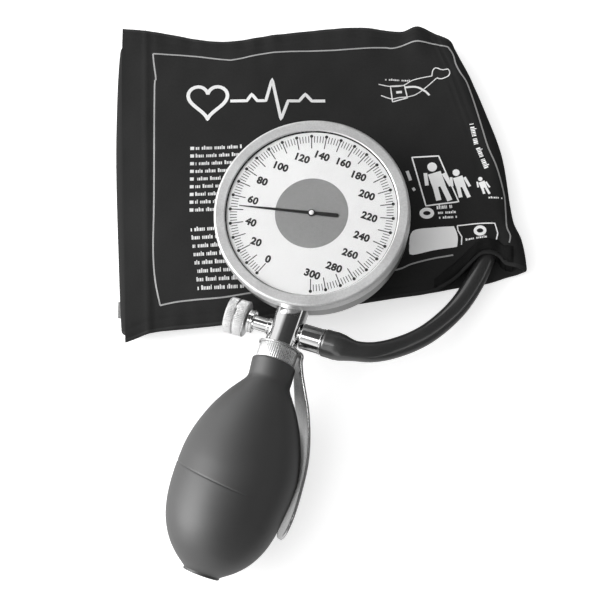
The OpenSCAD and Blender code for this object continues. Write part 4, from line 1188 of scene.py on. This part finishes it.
# Arm with a cuff round it
art.marks((28.4, 96.5), (38.6, 96.1), 0.9, 1)
art.curve([(25.6, 94.7), (30.8, 93.7), (35.9, 94.2), (39.7, 96.6), (44.4, 98), (48.2, 98.8)], 0.4)
art.curve([(26.6, 89.6), (31, 88), (34.2, 88.6), (38, 89), (41.8, 90.4), (46.7, 94.5),
           (50.3, 98)], 0.4)
art.curve([(48.2, 98.8), (48.6, 101.4), (50, 102.7), (52.5, 101.8), (55.2, 102.1), (55.6, 99.4),
           (52.4, 97.6), (50.3, 98)], 0.45)
art.stroke([(30.6, 93.9), (36.5, 94.2), (37.7, 88.5), (31.4, 86.6)], 0.5, closed=True)
art.stroke([(33, 91), (35.4, 91.2)], 1.1)
art.curve([(36.5, 93.3), (41.4, 93.6), (45, 91.9), (47, 89.9)], 0.85)
# A heart and a pulse line where the large lettering was
turn = np.linspace(0, TURN, 49)
heart = np.stack([16 * np.sin(turn) ** 3, 13 * np.cos(turn) - 5 * np.cos(2 * turn)
                  - 2 * np.cos(3 * turn) - np.cos(4 * turn)], axis=1)
art.stroke((-46.5, 87.5) + 0.52 * heart, 1.5, closed=True)
art.stroke([(-37, 87), (-30, 87), (-28, 90), (-25.6, 87), (-22, 87), (-19.4, 97), (-15.6, 78.5),
            (-12.6, 87), (-8, 87), (-5.4, 90.2), (-2.6, 87), (3, 87)], 1.3)
# Rows of marks, the upper ones with a small square each
for row in range(9):
    y = 65 - row * 3.46
    art.panel([(-53.6, y), (-52, y), (-52, y + 1.4), (-53.6, y + 1.4)])
    art.marks((-51.3, y), (-32.4 - row % 3, y + 0.5), 1.7, row * 4)
for row in range(8):
    x, y = -53 + row * 0.44, 28.6 - row * 3.6
    art.marks((x, y), (x + 19.1, y + 1), 1.9, row * 3 + 1)
art.object("cuff_print_marks", "cuff_print")


# Floor, lamps and world
FLOOR_GLOW, FLOOR_R, FLOOR_Z = 0.56, 6.0, -0.0002


def floor_material():
    material = bpy.data.materials.new("floor")
    nodes = Nodes(material)
    nodes.tree.nodes.remove(nodes.shader)
    path = nodes.add("LightPath")
    seen = nodes.maths("MAXIMUM", path["Is Camera Ray"], path["Is Transmission Ray"])
    strength = nodes.maths("MULTIPLY", seen, FLOOR_GLOW)
    diffuse = nodes.add("BsdfDiffuse", {"Color": grey(0.86)})[0]
    glow = nodes.add("Emission", {"Color": grey(1.0), "Strength": strength})[0]
    both = nodes.add("AddShader", {0: diffuse, 1: glow})[0]
    # A painted reflection, seen only in the metal: light on the left, dark on the right
    place = nodes.add("TexCoord")["Object"]
    fall = nodes.spread(nodes.add("SeparateXYZ", {"Vector": place})["X"], -0.08, 0.1, 0.95, 0.06)
    # and a painted shadow close under the neck of the bulb, since this glow has no real shadow
    shift = nodes.add("VectorMath", {0: place, 1: (0.017, 0.033, 0.0)}, operation="ADD")[0]
    far = nodes.add("VectorMath", {0: shift}, operation="LENGTH")["Value"]
    painted_reflection_glow = nodes.maths("MULTIPLY", fall, nodes.spread(far, 0.008, 0.022, 0.1))
    painted_reflection = nodes.add("Emission", {"Color": grey(1.0), "Strength": painted_reflection_glow})[0]
    nodes.show(nodes.add("MixShader", {0: path["Is Glossy Ray"], 1: both, 2: painted_reflection})[0])
    return material


corners = [(x * FLOOR_R, y * FLOOR_R, FLOOR_Z) for x, y in ((-1, -1), (1, -1), (1, 1), (-1, 1))]
floor_mesh = bpy.data.meshes.new("floor")
floor_mesh.from_pydata(corners, [], [(0, 1, 2, 3)])
floor_mesh.materials.append(floor_material())
floor = bpy.data.objects.new("floor", floor_mesh)
scene.collection.objects.link(floor)


def softbox(name, place, aim, size, power):
    light = bpy.data.lights.new(name, "AREA")
    light.shape = "RECTANGLE"
    light.size, light.size_y = size
    light.energy = power
    lamp = bpy.data.objects.new(name, light)
    lamp.location = place
    lamp.rotation_euler = (Vector(aim) - Vector(place)).to_track_quat("-Z", "Y").to_euler()
    scene.collection.objects.link(lamp)


softbox("key", (-2.0, 0.1, 1.1), (0, -0.02, 0), (1.5, 2.0), 48)
softbox("spark", (-0.42, -0.24, 1.1), (0, -0.03, 0.02), (0.3, 0.3), 0.5)

world = bpy.data.worlds.new("studio")
scene.world = world
nodes = Nodes(world, "Background")
path = nodes.add("LightPath")
# Seen in the metal: a white wall on the left, dark above, a thin light strip low on the right
parts = nodes.add("SeparateXYZ", {"Vector": nodes.add("TexCoord")["Generated"]})
lateral = nodes.maths("ARCTAN2", parts["X"], parts["Z"])
studio = nodes.add("ValToRGB", {"Fac": nodes.spread(lateral, -math.pi / 2, math.pi / 2)})[0]
STUDIO = [(0, 1.0), (0.27, 1.0), (0.34, 0.5), (0.42, 0.08), (0.6, 0.05), (0.85, 0.04), (0.88, 0.1),
          (0.895, 1.0), (0.925, 1.0), (0.94, 0.06), (1, 0.05)]
stops = studio.node.color_ramp.elements
while len(stops) < len(STUDIO):
    stops.new(0.5)
for stop, (position, value) in zip(stops, STUDIO):
    stop.position = position
    stop.color = grey(value)
soft = nodes.spread(parts["X"], -0.9, 0.9, 1.4, 0.08)
plain = nodes.add("Mix", {0: path["Is Glossy Ray"], 2: soft, 3: studio})[0]
strength = nodes.add("Mix", {0: path["Is Camera Ray"], 2: plain, 3: 1.0})[0]
nodes.feed(nodes.shader, {"Color": grey(1.0), "Strength": strength})
